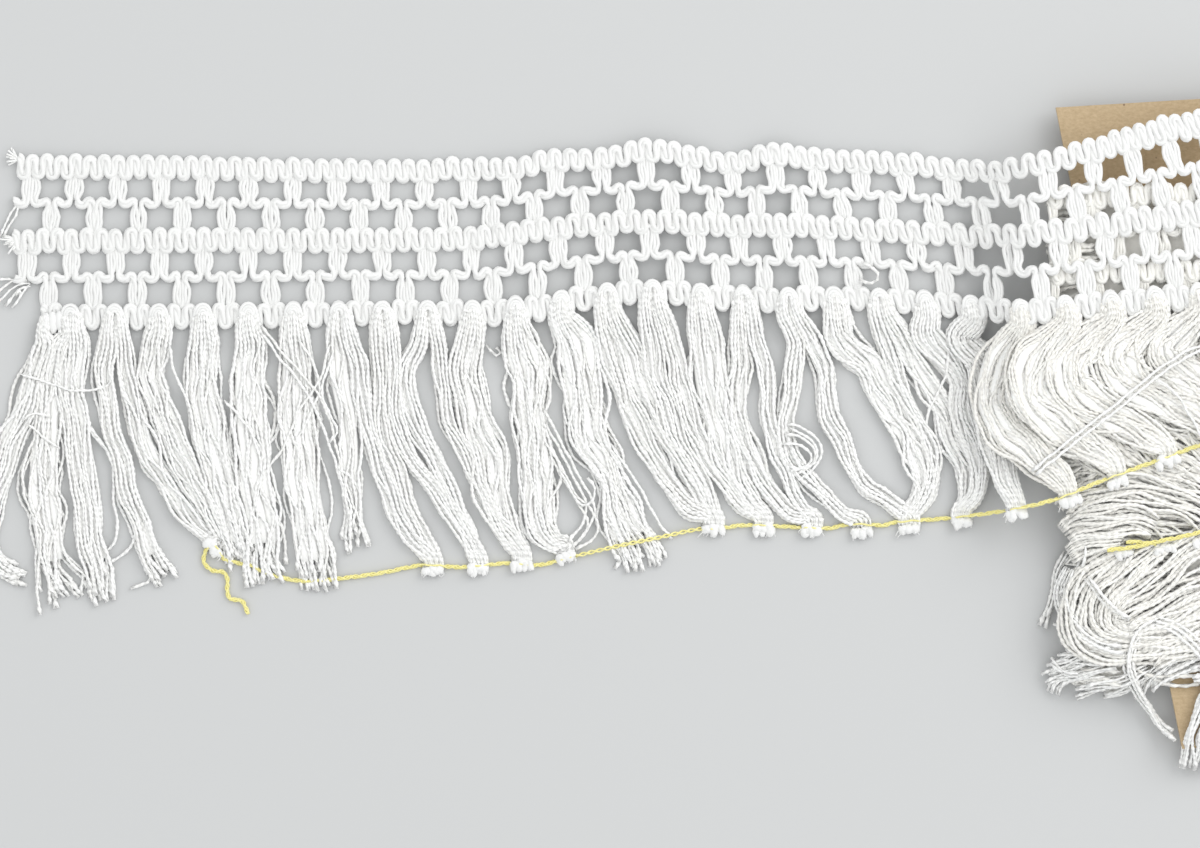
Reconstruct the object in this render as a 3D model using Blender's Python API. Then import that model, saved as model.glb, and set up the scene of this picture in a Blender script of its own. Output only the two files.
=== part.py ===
"""Chainette fringe trim of white cotton, its right end wound on a board card.

The trim lies flat at the left, face up, and climbs onto the wound turns at the
right. The tables are in millimetres and the model is in metres, with +X along
the trim, +Y from the fringe to the heading and +Z up from the surface.
"""

import math
from collections import namedtuple

import bmesh
import bpy
from mathutils import Vector

MM = 0.001

# Heading: one pitch is the distance between two bars of one row.
PITCH = 12.0
COLUMNS_PER_PITCH = 6
FIRST_COLUMN = -3
BAR_COLUMNS = (0, COLUMNS_PER_PITCH - 1)
CORD = 2.2
GROOVE = 0.6
SCALLOP = 0.7
MEANDER = 1.1
HALF_WIDTH_UP = 23.5
HALF_WIDTH_DOWN = 23.1
HEADING_END = 28.5

# Fringe: every lock is a row of flat strands that stand a little apart.
STRANDS = 4
STRAND_GAP = 0.5
ROOT_WIDTH = 9.0
STRAND_HEIGHT = 2.0
STRAND_LOW = 1.6
LOCK_STEPS = 6
STRIP_TOP = -18.5
STRIP_END = 28.3
STRIP_LEAD = 0.6
NEAR = 0.05

# Holding thread.
THREAD_RADIUS = 0.6
THREAD_STEP = 5.0
TAIL_STEP = 3.0
TAIL_POINTS = 9
THREAD_SAMPLES = 2000
THREAD_GAP = 0.7

# Wound turns and card.
CARD_THICKNESS = 1.6
CARD_BOTTOM = 4.8
CARD_CLEARANCE = 0.4
PACK_HEIGHT = 12.6
PACK_RIGHT = 191.0
SLOT_OVERRUN = 60.0

# The trim leaves the surface at RISE_FROM and lies on the wound turns from RISE_TO.
RISE_FROM = 69.0
RISE_TO = 94.0
RISE_HEIGHT = 13.1

# Sections of the heading: bar is the number of pitches from the first bar,
# then the top edge, the middle line, the lower edge and a fold's lift.
Section = namedtuple("Section", "bar top_x top_y mid_x mid_y low_x low_y lift")
SECTIONS = (
    Section(-0.5, -184.0, 71.0, -185.5, 47.5, -186.0, 24.5, 0.0),
    Section(4.0, -131.5, 70.5, -132.0, 48.0, -132.0, 24.5, 0.0),
    Section(8.0, -84.5, 69.5, -84.0, 48.0, -83.5, 25.5, 0.0),
    Section(10.0, -61.0, 70.0, -60.0, 48.5, -59.5, 25.5, 0.0),
    Section(11.0, -49.5, 70.0, -48.5, 50.0, -47.5, 26.0, 1.5),
    Section(12.0, -37.5, 72.5, -36.5, 51.5, -35.5, 28.0, 1.0),
    Section(13.0, -25.0, 72.5, -24.0, 52.5, -23.0, 30.0, 2.0),
    Section(14.0, -13.0, 75.0, -12.0, 53.0, -11.0, 31.5, 3.0),
    Section(15.0, -1.5, 73.5, 0.5, 52.5, 2.0, 30.0, 2.0),
    Section(16.0, 10.0, 71.5, 12.0, 52.0, 14.0, 29.5, 0.5),
    Section(17.0, 21.5, 74.0, 23.5, 52.0, 26.0, 29.0, 2.5),
    Section(18.0, 32.5, 72.5, 35.0, 51.5, 38.5, 29.5, 0.5),
    Section(20.0, 56.0, 71.5, 59.5, 50.0, 63.0, 28.5, 0.5),
    Section(22.0, 80.5, 69.0, 85.0, 49.0, 88.0, 25.5, 0.5),
    Section(23.0, 93.5, 71.5, 97.0, 50.0, 100.0, 26.5, 0.0),
    Section(24.0, 105.5, 74.5, 109.5, 51.5, 112.0, 27.5, 0.0),
    Section(26.0, 125.0, 80.5, 132.5, 54.5, 135.5, 29.5, 0.0),
    Section(30.0, 163.0, 88.0, 177.5, 60.0, 182.5, 34.0, 0.0),
)

# Levels of the heading from the top edge down, measured from the middle line.
# Below each lies a band or cord, or else a row of bars at one column of the pitch.
# It starts at the column called first, and odd says which columns are crests.
Level = namedtuple("Level", "height meanders odd first bars_at")
LEVELS = (
    Level(23.5, False, True, -2, None),
    Level(16.8, False, False, -1, 0),
    Level(11.6, True, False, -2, None),
    Level(9.2, True, True, 2, 3),
    Level(3.4, False, True, -3, None),
    Level(-3.4, False, False, -1, 0),
    Level(-8.3, True, False, -2, None),
    Level(-11.0, True, True, 2, 3),
    Level(-16.8, False, True, 2, None),
    Level(-18.2, False, False, None, None),
)

# Locks of the fringe: bar at the root, then three points of the middle of the
# lock and its width at each. A lock that the thread holds ends beside it.
Lock = namedtuple("Lock", "bar x1 y1 x2 y2 x3 y3 w1 w2 w3 held")
LOCKS = (
    Lock(0.65, -180.5, 7.0, -188.5, -14.5, -184.0, -41.5, 7.0, 6.0, 6.0, False),
    Lock(1.45, -169.5, 2.0, -172.0, -22.5, -169.0, -49.5, 8.0, 8.0, 11.0, False),
    Lock(2.25, -156.5, 4.0, -159.5, -22.0, -157.0, -47.5, 6.5, 5.5, 6.0, False),
    Lock(3.05, -145.0, 4.0, -147.5, -20.0, -142.0, -45.0, 8.0, 7.0, 7.0, False),
    Lock(3.95, -135.0, 4.0, -134.0, -18.0, -124.0, -35.0, 9.0, 8.0, 4.0, True),
    Lock(4.9, -123.0, 4.0, -122.0, -19.0, -115.5, -40.0, 9.5, 9.0, 8.0, True),
    Lock(5.9, -111.0, 4.0, -110.0, -19.0, -105.5, -44.0, 9.5, 9.5, 8.5, True),
    Lock(6.8, -99.5, 4.0, -98.0, -18.0, -94.5, -36.0, 9.0, 9.0, 7.0, False),
    Lock(7.85, -85.0, 4.5, -79.5, -17.0, -69.5, -38.0, 9.5, 9.0, 5.0, True),
    Lock(8.95, -72.5, 4.5, -66.5, -17.0, -58.5, -38.0, 9.5, 8.5, 5.0, True),
    Lock(10.0, -59.0, 5.0, -53.5, -18.0, -46.5, -37.5, 9.5, 9.5, 6.0, True),
    Lock(11.0, -45.0, 5.0, -40.0, -16.0, -35.0, -36.0, 10.0, 9.5, 6.5, True),
    Lock(12.0, -33.0, 8.0, -24.5, -15.0, -14.5, -40.0, 9.0, 7.0, 8.5, False),
    Lock(13.0, -18.5, 7.0, -9.5, -13.0, 3.5, -28.5, 9.5, 9.0, 6.0, True),
    Lock(14.0, -7.0, 7.5, 0.5, -11.5, 11.0, -28.0, 9.5, 8.0, 5.5, True),
    Lock(15.0, 4.5, 7.0, 10.0, -12.0, 19.5, -28.0, 9.5, 8.0, 6.0, True),
    Lock(16.0, 15.5, 5.0, 19.5, -13.0, 31.5, -28.0, 9.0, 7.5, 6.0, True),
    Lock(16.8, 25.0, 3.5, 29.0, -13.0, 44.0, -28.5, 7.0, 6.5, 5.5, True),
    Lock(17.6, 36.5, 3.5, 42.0, -8.5, 54.0, -27.0, 6.5, 5.5, 5.0, True),
    Lock(18.4, 49.0, 6.5, 59.5, -7.0, 61.5, -26.0, 8.5, 8.5, 5.5, True),
    Lock(19.2, 60.0, 9.0, 70.0, -5.0, 72.5, -25.0, 8.5, 7.5, 6.0, True),
    Lock(20.15, 70.0, 12.0, 77.0, -4.0, 83.0, -23.5, 8.5, 7.0, 5.5, True),
    Lock(21.15, 76.5, 14.0, 84.5, -6.0, 92.0, -21.5, 8.5, 6.5, 5.5, True),
    Lock(22.15, 86.0, 12.0, 92.0, -6.5, 102.0, -19.0, 9.0, 8.0, 6.0, True),
    Lock(23.15, 95.0, 13.0, 101.5, -1.5, 113.5, -14.0, 9.0, 8.5, 6.5, True),
    Lock(24.15, 106.0, 15.0, 113.0, 2.5, 126.0, -9.0, 9.0, 8.5, 6.5, True),
    Lock(25.15, 118.0, 17.5, 127.0, 6.5, 139.0, -4.0, 9.0, 8.5, 6.5, True),
    Lock(26.15, 131.0, 20.0, 141.5, 9.5, 152.0, 1.0, 9.0, 8.0, 6.5, True),
    Lock(27.2, 145.0, 21.5, 155.0, 11.5, 166.0, 5.0, 9.0, 8.0, 6.5, True),
)

# Route of the holding thread from its free end, with its lift over a loose lock.
Stitch = namedtuple("Stitch", "x y lift")
THREAD = (
    Stitch(-120.0, -53.0, 0.0),
    Stitch(-121.5, -49.5, 0.0),
    Stitch(-125.0, -48.5, 0.0),
    Stitch(-125.5, -44.0, 0.0),
    Stitch(-127.0, -41.5, 0.0),
    Stitch(-130.0, -41.0, 0.0),
    Stitch(-132.0, -38.5, 0.0),
    Stitch(-131.0, -35.5, 0.0),
    Stitch(-128.5, -35.5, 0.0),
    Stitch(-126.5, -37.0, 0.0),
    Stitch(-122.0, -39.0, 0.0),
    Stitch(-114.5, -42.0, 0.0),
    Stitch(-105.0, -44.5, 0.0),
    Stitch(-94.5, -43.5, 0.0),
    Stitch(-72.5, -40.0, 0.0),
    Stitch(-63.0, -40.5, 0.0),
    Stitch(-49.5, -39.0, 0.0),
    Stitch(-42.0, -39.5, 0.0),
    Stitch(-32.0, -37.5, 0.0),
    Stitch(-24.0, -35.5, 2.0),
    Stitch(-16.0, -33.5, 2.6),
    Stitch(-8.0, -32.0, 1.6),
    Stitch(1.5, -30.0, 0.0),
    Stitch(14.5, -28.5, 0.0),
    Stitch(36.5, -29.5, 0.0),
    Stitch(55.0, -28.0, 0.0),
    Stitch(69.0, -26.5, 0.0),
    Stitch(82.5, -25.0, 0.0),
    Stitch(96.5, -22.0, 0.0),
    Stitch(109.5, -16.5, 0.0),
    Stitch(123.5, -11.5, 0.0),
    Stitch(137.0, -7.0, 0.0),
    Stitch(153.0, -1.5, 0.0),
    Stitch(170.0, 3.5, 0.0),
)

# Outline of the card, from its upper left corner.
CARD_CORNERS = ((97.5, 83.5), (181.0, 88.5), (184.0, -86.0), (131.5, -89.0))

# Sections of the wound turns from the heading's side down: the place, the left
# edge and the height there as a share of the full height.
Turn = namedtuple("Turn", "y left height")
PACK = (
    Turn(63.0, 97.5, 0.70),
    Turn(58.0, 95.5, 0.92),
    Turn(50.0, 94.0, 0.98),
    Turn(40.0, 94.5, 1.00),
    Turn(30.0, 94.5, 0.97),
    Turn(19.0, 95.0, 0.99),
    Turn(8.0, 95.5, 0.96),
    Turn(-3.0, 96.0, 0.98),
    Turn(-13.0, 98.0, 0.95),
    Turn(-22.0, 99.5, 0.88),
    Turn(-31.0, 99.5, 0.86),
    Turn(-40.0, 99.0, 0.82),
    Turn(-49.0, 96.5, 0.78),
    Turn(-57.0, 95.5, 0.75),
    Turn(-65.0, 96.0, 0.70),
    Turn(-73.0, 99.0, 0.62),
)
# Each shoulder of a section, upward: distance from the edge, share of the height.
Shoulder = namedtuple("Shoulder", "inward height")
SHOULDER = (
    Shoulder(4.0, 0.0),
    Shoulder(1.0, 0.14),
    Shoulder(0.0, 0.38),
    Shoulder(2.0, 0.66),
    Shoulder(6.0, 0.87),
)
# Locks of the wound fringe raise the upper face of the wound turns.
CROWN_COLUMNS = 23
CROWN_FROM = 11.0
LOCK_PITCH = 13.0
LOCK_LEAN = 0.6
LOCK_GROOVE = 0.11

COTTON = ((0.88, 0.88, 0.86), 0.9)
YELLOW = ((0.90, 0.80, 0.22), 0.75)
KRAFT = ((0.56, 0.40, 0.24), 0.85)


def clear_scene():
    """Removes what a new file holds."""
    for item in list(bpy.data.objects):
        bpy.data.objects.remove(item, do_unlink=True)


def material(name, finish):
    """A plain Principled material of one colour and roughness."""
    colour, roughness = finish
    made = bpy.data.materials.new(name)
    made.use_nodes = True
    shader = made.node_tree.nodes["Principled BSDF"]
    shader.inputs["Base Color"].default_value = (*colour, 1.0)
    shader.inputs["Roughness"].default_value = roughness
    shader.inputs["Metallic"].default_value = 0.0
    return made


def add_object(name, data, finish):
    """Links mesh or curve data as an object with its own material."""
    data.materials.append(material(name + "_finish", finish))
    made = bpy.data.objects.new(name, data)
    bpy.context.collection.objects.link(made)
    return made


def mesh_from(name, points, faces):
    """A mesh from points in millimetres, with its faces turned outward."""
    mesh = bpy.data.meshes.new(name)
    mesh.from_pydata([tuple(value * MM for value in point) for point in points], [], faces)
    shape = bmesh.new()
    shape.from_mesh(mesh)
    bmesh.ops.recalc_face_normals(shape, faces=shape.faces)
    shape.to_mesh(mesh)
    shape.free()
    return mesh


def smooth_value(rows, column, at):
    """Reads one column of a table at a place in its first column, on a smooth curve."""
    keys = [row[0] for row in rows]
    last = len(rows) - 1
    at = min(max(at, keys[0]), keys[last])
    low = max(index for index in range(last) if keys[index] <= at)
    high = low + 1

    def slope(index):
        before, after = max(index - 1, 0), min(index + 1, last)
        return (rows[after][column] - rows[before][column]) / (keys[after] - keys[before])

    span = keys[high] - keys[low]
    t = (at - keys[low]) / span
    start, end = rows[low][column], rows[high][column]
    bend = (2 * t**3 - 3 * t**2 + 1) * start + (3 * t**2 - 2 * t**3) * end
    lean = (t**3 - 2 * t**2 + t) * slope(low) + (t**3 - t**2) * slope(high)
    return bend + lean * span


def smooth_point(points, at):
    """A point on a smooth curve through points that are one apart."""
    rows = [(index, *point) for index, point in enumerate(points)]
    return Vector([smooth_value(rows, column + 1, at) for column in range(len(points[0]))])


def rise(x):
    """Height of the trim's underside where it climbs onto the wound turns."""
    t = min(max((x - RISE_FROM) / (RISE_TO - RISE_FROM), 0.0), 1.0)
    return RISE_HEIGHT * t * t * (3.0 - 2.0 * t)


def heading_point(bar, height):
    """A point of the trim's underside, at a bar number and a height from the middle line."""
    top_x, top_y, mid_x, mid_y, low_x, low_y, lift = (
        smooth_value(SECTIONS, column, bar) for column in range(1, len(Section._fields))
    )
    edge_x, edge_y, share = low_x, low_y, -height / HALF_WIDTH_DOWN
    if height > 0:
        edge_x, edge_y, share = top_x, top_y, height / HALF_WIDTH_UP
    x = mid_x + (edge_x - mid_x) * share
    y = mid_y + (edge_y - mid_y) * share
    return Vector((x, y, max(lift, 0.0) + rise(x)))


def is_crest(level, column):
    """True where a loop of the cord stands high, which is at every other column."""
    return (column % 2 == 1) == LEVELS[level].odd


def level_height(level, column):
    """Height of a level at a column, with its scallops and the meander of its cord."""
    row = LEVELS[level]
    height = row.height
    if row.meanders:
        height -= MEANDER * math.cos(2 * math.pi * column / COLUMNS_PER_PITCH)
    if level == 0 and not is_crest(level, column):
        height -= SCALLOP
    return height


def cell_is_cord(level, column):
    """True where the cell below a level and right of a column line holds cord."""
    row = LEVELS[level]
    if column < row.first:
        return False
    return row.bars_at is None or (column - row.bars_at) % COLUMNS_PER_PITCH in BAR_COLUMNS


def build_heading():
    """The openwork band: bands, meander cords and bars, with the gaps cut through."""
    last = round(HEADING_END * COLUMNS_PER_PITCH)
    cells = [
        (level, column)
        for level in range(len(LEVELS) - 1)
        for column in range(FIRST_COLUMN, last)
        if cell_is_cord(level, column)
    ]
    points, numbers, faces = [], {}, []

    def corner(level, column, upper):
        key = (level, column, upper)
        if key not in numbers:
            point = heading_point(column / COLUMNS_PER_PITCH, level_height(level, column))
            if upper:
                point.z += CORD if is_crest(level, column) else CORD - GROOVE
            numbers[key] = len(points)
            points.append(point)
        return numbers[key]

    filled = set(cells)
    for level, column in cells:
        ring = ((level, column), (level, column + 1), (level + 1, column + 1), (level + 1, column))
        faces.append([corner(*place, True) for place in ring])
        faces.append([corner(*place, False) for place in reversed(ring)])
        beyond = ((level - 1, column), (level, column + 1), (level + 1, column), (level, column - 1))
        for side, neighbour in enumerate(beyond):
            if neighbour not in filled:
                here, there = ring[side], ring[(side + 1) % 4]
                faces.append(
                    [corner(*here, False), corner(*there, False), corner(*there, True), corner(*here, True)]
                )
    return add_object("heading", mesh_from("heading", points, faces), COTTON)


def thread_point(at):
    """A point of the thread's middle at a place along its route."""
    x, y, lift = smooth_point(THREAD, at)
    return Vector((x, y, max(lift, 0.0) + rise(x) + THREAD_RADIUS))


def thread_y(x):
    """The thread's place across the trim where it passes x, past its free end."""
    return smooth_value(THREAD[TAIL_POINTS:], 1, x)


def lock_sections(lock):
    """Middle, across direction and width of a lock from its root to its tip."""
    root = heading_point(lock.bar, -HALF_WIDTH_DOWN)
    tip_y = thread_y(lock.x3) + THREAD_RADIUS + THREAD_GAP if lock.held else lock.y3
    route = [(root.x, root.y), (lock.x1, lock.y1), (lock.x2, lock.y2), (lock.x3, tip_y)]
    widths = [(0, ROOT_WIDTH), (1, lock.w1), (2, lock.w2), (3, lock.w3)]
    last = len(route) - 1
    sections = []
    for step in range(1, LOCK_STEPS + 1):
        at = last * step / LOCK_STEPS
        middle = smooth_point(route, at)
        ahead = smooth_point(route, at + NEAR) - smooth_point(route, at - NEAR)
        across = Vector((-ahead.y, ahead.x)).normalized()
        if lock.held and step == LOCK_STEPS:
            slope = (thread_y(lock.x3 + NEAR) - thread_y(lock.x3 - NEAR)) / (2 * NEAR)
            across = Vector((1.0, slope)).normalized()
        fold = root.z - rise(root.x)
        lift = rise(middle.x) + fold * max(1.0 - at, 0.0)
        sections.append((middle, across, smooth_value(widths, 1, at), lift))
    return sections


def add_strand(points, faces, root, sections, number):
    """Draws one strand of a lock out of a face of the strip, and closes its end."""
    ring = root
    for middle, across, width, lift in sections:
        share = (number + 0.5) / STRANDS - 0.5
        half = 0.5 * (width / STRANDS - STRAND_GAP)
        centre = middle + across * (share * width)
        left, right = centre - across * half, centre + across * half
        tall = STRAND_HEIGHT if number % 2 else STRAND_LOW
        first = len(points)
        points.append((left.x, left.y, lift))
        points.append((right.x, right.y, lift))
        points.append((right.x, right.y, lift + tall))
        points.append((left.x, left.y, lift + tall))
        new_ring = [first, first + 1, first + 2, first + 3]
        for side in range(4):
            after = (side + 1) % 4
            faces.append([ring[side], ring[after], new_ring[after], new_ring[side]])
        ring = new_ring
    faces.append(ring)


def build_fringe():
    """A narrow strip of the lowest band, with every strand drawn out of its edge."""
    spans = [(LOCKS[0].bar - STRIP_LEAD, None)]
    for index, lock in enumerate(LOCKS):
        left = lock.bar - 0.5 * ROOT_WIDTH / PITCH
        for number in range(STRANDS):
            start = left + (number * ROOT_WIDTH / STRANDS + 0.5 * STRAND_GAP) / PITCH
            end = left + ((number + 1) * ROOT_WIDTH / STRANDS - 0.5 * STRAND_GAP) / PITCH
            spans.append((start, (index, number)))
            spans.append((end, None))
    spans.append((STRIP_END, None))

    points, faces = [], []
    for bar, _ in spans:
        low, high = heading_point(bar, -HALF_WIDTH_DOWN), heading_point(bar, STRIP_TOP)
        points += [low, low + Vector((0, 0, CORD)), high + Vector((0, 0, CORD)), high]
    faces.append([0, 1, 2, 3])
    for index in range(len(spans) - 1):
        here, there = 4 * index, 4 * (index + 1)
        for side in (1, 2, 3):
            after = (side + 1) % 4
            faces.append([here + side, there + side, there + after, here + after])
        wall = [here, there, there + 1, here + 1]
        strand = spans[index][1]
        if strand is None:
            faces.append(wall)
        else:
            add_strand(points, faces, wall, lock_sections(LOCKS[strand[0]]), strand[1])
    end = 4 * (len(spans) - 1)
    faces.append([end, end + 1, end + 2, end + 3])
    return add_object("fringe", mesh_from("fringe", points, faces), COTTON)


def build_thread():
    """The holding thread as a tube along its route."""
    last = len(THREAD) - 1
    fine = [thread_point(last * index / THREAD_SAMPLES) for index in range(THREAD_SAMPLES + 1)]
    route, run = [fine[0]], 0.0
    for before, after in zip(fine, fine[1:]):
        run += (after - before).length
        step = THREAD_STEP if before.x > THREAD[TAIL_POINTS].x else TAIL_STEP
        if run >= step:
            route.append(after)
            run = 0.0
    curve = bpy.data.curves.new("chain_stitch", "CURVE")
    curve.dimensions = "3D"
    curve.bevel_depth = THREAD_RADIUS * MM
    curve.bevel_resolution = 1
    curve.use_fill_caps = True
    spline = curve.splines.new("POLY")
    spline.points.add(len(route) - 1)
    for point, place in zip(spline.points, route):
        point.co = (*(place * MM), 1.0)
    return add_object("chain_stitch", curve, YELLOW)


def prism(name, corners, bottom, top):
    """A flat plate from an outline in order and two heights."""
    count = len(corners)
    points = [(x, y, bottom) for x, y in corners] + [(x, y, top) for x, y in corners]
    faces = [list(range(count)), list(range(count, 2 * count))]
    for index in range(count):
        after = (index + 1) % count
        faces.append([index, after, count + after, count + index])
    return mesh_from(name, points, faces)


def build_card():
    """The plain board that the trim is wound on."""
    mesh = prism("winding_card", CARD_CORNERS, CARD_BOTTOM, CARD_BOTTOM + CARD_THICKNESS)
    return add_object("winding_card", mesh, KRAFT)


def pack_ring(y, left):
    """One section of the wound turns: places along the trim and shares of the height."""
    ring = [(left + inward, up) for inward, up in SHOULDER]
    crown = PACK_RIGHT - left - 2.0 * CROWN_FROM
    for column in range(CROWN_COLUMNS):
        x = left + CROWN_FROM + crown * column / (CROWN_COLUMNS - 1)
        turn = 2.0 * math.pi * (x + LOCK_LEAN * y) / LOCK_PITCH
        ring.append((x, 1.0 - LOCK_GROOVE * (0.5 + 0.5 * math.cos(turn))))
    return ring + [(PACK_RIGHT - inward, up) for inward, up in reversed(SHOULDER)]


def past_both_ends(start, end):
    """A side of the card moved out by the clearance and made longer at both ends."""
    way = (end - start).normalized()
    aside = Vector((way.y, -way.x)) * CARD_CLEARANCE
    ends = (start + aside - way * SLOT_OVERRUN, end + aside + way * SLOT_OVERRUN)
    return [(corner.x, corner.y) for corner in ends]


def build_pack():
    """The wound turns: one solid of their outer form, with a slot for the card."""
    points, faces = [], []
    for y, left, height in PACK:
        points += [(x, y, PACK_HEIGHT * height * up) for x, up in pack_ring(y, left)]
    count = len(points) // len(PACK)
    for row in range(len(PACK) - 1):
        for index in range(count):
            after = (index + 1) % count
            here, below = row * count, (row + 1) * count
            faces.append([here + index, here + after, below + after, below + index])
    faces.append(list(range(count)))
    faces.append(list(range((len(PACK) - 1) * count, len(PACK) * count)))
    pack = add_object("wound_turns", mesh_from("wound_turns", points, faces), COTTON)

    upper_left, upper_right, lower_right, lower_left = (Vector(corner) for corner in CARD_CORNERS)
    slot_corners = [
        *past_both_ends(upper_left, lower_left),
        *past_both_ends(lower_right, upper_right),
    ]
    mesh = prism(
        "card_slot",
        slot_corners,
        CARD_BOTTOM - CARD_CLEARANCE,
        CARD_BOTTOM + CARD_THICKNESS + CARD_CLEARANCE,
    )
    slot = bpy.data.objects.new("card_slot", mesh)
    bpy.context.collection.objects.link(slot)
    slot.hide_render = True
    slot.display_type = "WIRE"
    cut = pack.modifiers.new("card_slot", "BOOLEAN")
    cut.operation = "DIFFERENCE"
    cut.solver = "EXACT"
    cut.object = slot
    return pack


def main():
    """Builds every piece of the trim in place."""
    clear_scene()
    build_heading()
    build_fringe()
    build_thread()
    build_card()
    build_pack()


main()
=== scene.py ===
# %% [markdown]
# # A chainette fringe trim, partly wound on a card
# The trim has an openwork heading of white cotton cord. Locks of two-ply yarn hang from it,
# and a yellow chain-stitched thread holds their lower ends. We build it cord by cord and
# yarn by yarn, on top of a plain solid model that says where everything lies.

import math
from collections import namedtuple

import bpy
import numpy as np
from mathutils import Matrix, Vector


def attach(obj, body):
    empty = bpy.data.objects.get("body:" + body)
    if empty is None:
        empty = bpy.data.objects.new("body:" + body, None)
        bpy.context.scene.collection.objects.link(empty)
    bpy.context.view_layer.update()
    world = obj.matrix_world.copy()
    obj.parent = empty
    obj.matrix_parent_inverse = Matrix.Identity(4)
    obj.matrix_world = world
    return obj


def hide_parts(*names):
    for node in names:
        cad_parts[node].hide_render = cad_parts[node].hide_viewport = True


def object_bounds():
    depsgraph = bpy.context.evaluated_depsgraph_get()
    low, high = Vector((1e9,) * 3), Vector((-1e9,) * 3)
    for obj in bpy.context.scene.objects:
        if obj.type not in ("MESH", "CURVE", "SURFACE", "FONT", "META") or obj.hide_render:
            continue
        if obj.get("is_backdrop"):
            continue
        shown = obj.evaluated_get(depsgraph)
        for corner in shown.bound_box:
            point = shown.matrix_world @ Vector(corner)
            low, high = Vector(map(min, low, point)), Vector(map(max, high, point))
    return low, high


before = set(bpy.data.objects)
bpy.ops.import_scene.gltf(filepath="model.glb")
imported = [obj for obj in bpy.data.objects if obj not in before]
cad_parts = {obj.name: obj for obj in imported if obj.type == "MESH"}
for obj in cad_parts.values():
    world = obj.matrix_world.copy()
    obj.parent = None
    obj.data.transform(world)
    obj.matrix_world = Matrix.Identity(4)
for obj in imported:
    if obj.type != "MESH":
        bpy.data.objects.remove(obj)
solid_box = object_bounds()
print("solids:", ", ".join(sorted(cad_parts)))

# %% [markdown]
# ## Camera
# The picture was taken from straight above. A long lens far away keeps the straight lines
# of the trim straight. All measures below are in millimetres, and most places are read as
# pixels of the picture, so the first thing is the link between pixels and millimetres.

# %% Place the camera
MM = 0.001
PICTURE_WIDE, PICTURE_TALL = 1200, 848
PIXEL = 0.27
ORIGIN_X, ORIGIN_Y = 693.0, 418.0
CAMERA_HEIGHT = 1600.0
SENSOR = 36.0
CLIP_END = 10.0


def on_table(pixel_x, pixel_y):
    """Place on the table, in millimetres, of a pixel of the picture."""
    return (pixel_x - ORIGIN_X) * PIXEL, (ORIGIN_Y - pixel_y) * PIXEL


middle_x, middle_y = on_table(PICTURE_WIDE / 2, PICTURE_TALL / 2)
camera_data = bpy.data.cameras.new("overhead_camera")
camera_data.sensor_width = SENSOR
camera_data.lens = SENSOR * CAMERA_HEIGHT / (PICTURE_WIDE * PIXEL)
camera_data.clip_end = CLIP_END
camera = bpy.data.objects.new("overhead_camera", camera_data)
camera.location = (middle_x * MM, middle_y * MM, CAMERA_HEIGHT * MM)
bpy.context.collection.objects.link(camera)
bpy.context.scene.camera = camera
bpy.context.scene.view_settings.view_transform = "Standard"
print(f"lens {camera_data.lens:.0f} mm, {PICTURE_WIDE * PIXEL:.0f} mm of table in view")

# %% [markdown]
# ## Soft studio light
# White cotton on pale grey paper needs light from everywhere, so the sky does most of the
# work. One large lamp beyond the heading, to the right, gives the cords their soft shaded
# side and the gaps their shaded upper edge, and it puts a shadow left of the wound turns.

# %% Light the table
SKY = 1.10
SKY_TINT = (0.985, 0.995, 1.0, 1.0)
LAMP_POWER = 8.0
LAMP_SIZE = 1.0
LAMP_PLACE = (0.95, 0.70, 0.85)

world = bpy.data.worlds.new("studio")
world.use_nodes = True
background = world.node_tree.nodes["Background"]
background.inputs["Color"].default_value = SKY_TINT
background.inputs["Strength"].default_value = SKY
bpy.context.scene.world = world

lamp_data = bpy.data.lights.new("window", "AREA")
lamp_data.energy = LAMP_POWER
lamp_data.size = LAMP_SIZE
lamp = bpy.data.objects.new("window", lamp_data)
lamp.location = LAMP_PLACE
lamp.rotation_euler = lamp.location.to_track_quat("Z", "Y").to_euler()
bpy.context.collection.objects.link(lamp)
print(f"sky {SKY}, and a lamp of {LAMP_POWER} W that is {LAMP_SIZE} m wide")

# %% [markdown]
# ## Materials
# Cotton yarn is matt, nearly white, and a little fluffy. Two things make it read as yarn:
# a slanted ripple of fibres that runs round each ply, and a small change of tone from one
# yarn to the next. The ripple is a wave along the two measures that each tube carries: how
# far round it a point is, and how far along. The fluff is the shader's sheen.


# %% Helpers for shader trees
def new_material(name, colour, roughness):
    """A material, its node tree and its main shader."""
    made = bpy.data.materials.new(name)
    made.use_nodes = True
    shader = made.node_tree.nodes["Principled BSDF"]
    shader.inputs["Base Color"].default_value = (*colour, 1.0)
    shader.inputs["Roughness"].default_value = roughness
    return made, made.node_tree, shader


def node(tree, kind, **settings):
    """A new node, with its settings and the values of its sockets."""
    made = tree.nodes.new(kind)
    for name, value in settings.items():
        if hasattr(made, name):
            setattr(made, name, value)
        else:
            made.inputs[name.replace("_", " ")].default_value = value
    return made


def colour_ramp(tree, start, end):
    """A ramp between two stops, each a position and a colour."""
    made = tree.nodes.new("ShaderNodeValToRGB")
    for element, (position, colour) in zip(made.color_ramp.elements, (start, end)):
        element.position = position
        element.color = (*colour, 1.0)
    return made


# %% Cotton for cords and yarns
COTTON_ROUGHNESS = 0.88
WAVE_SHARE = 0.35
PATCH_SHARE = 0.45


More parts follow.
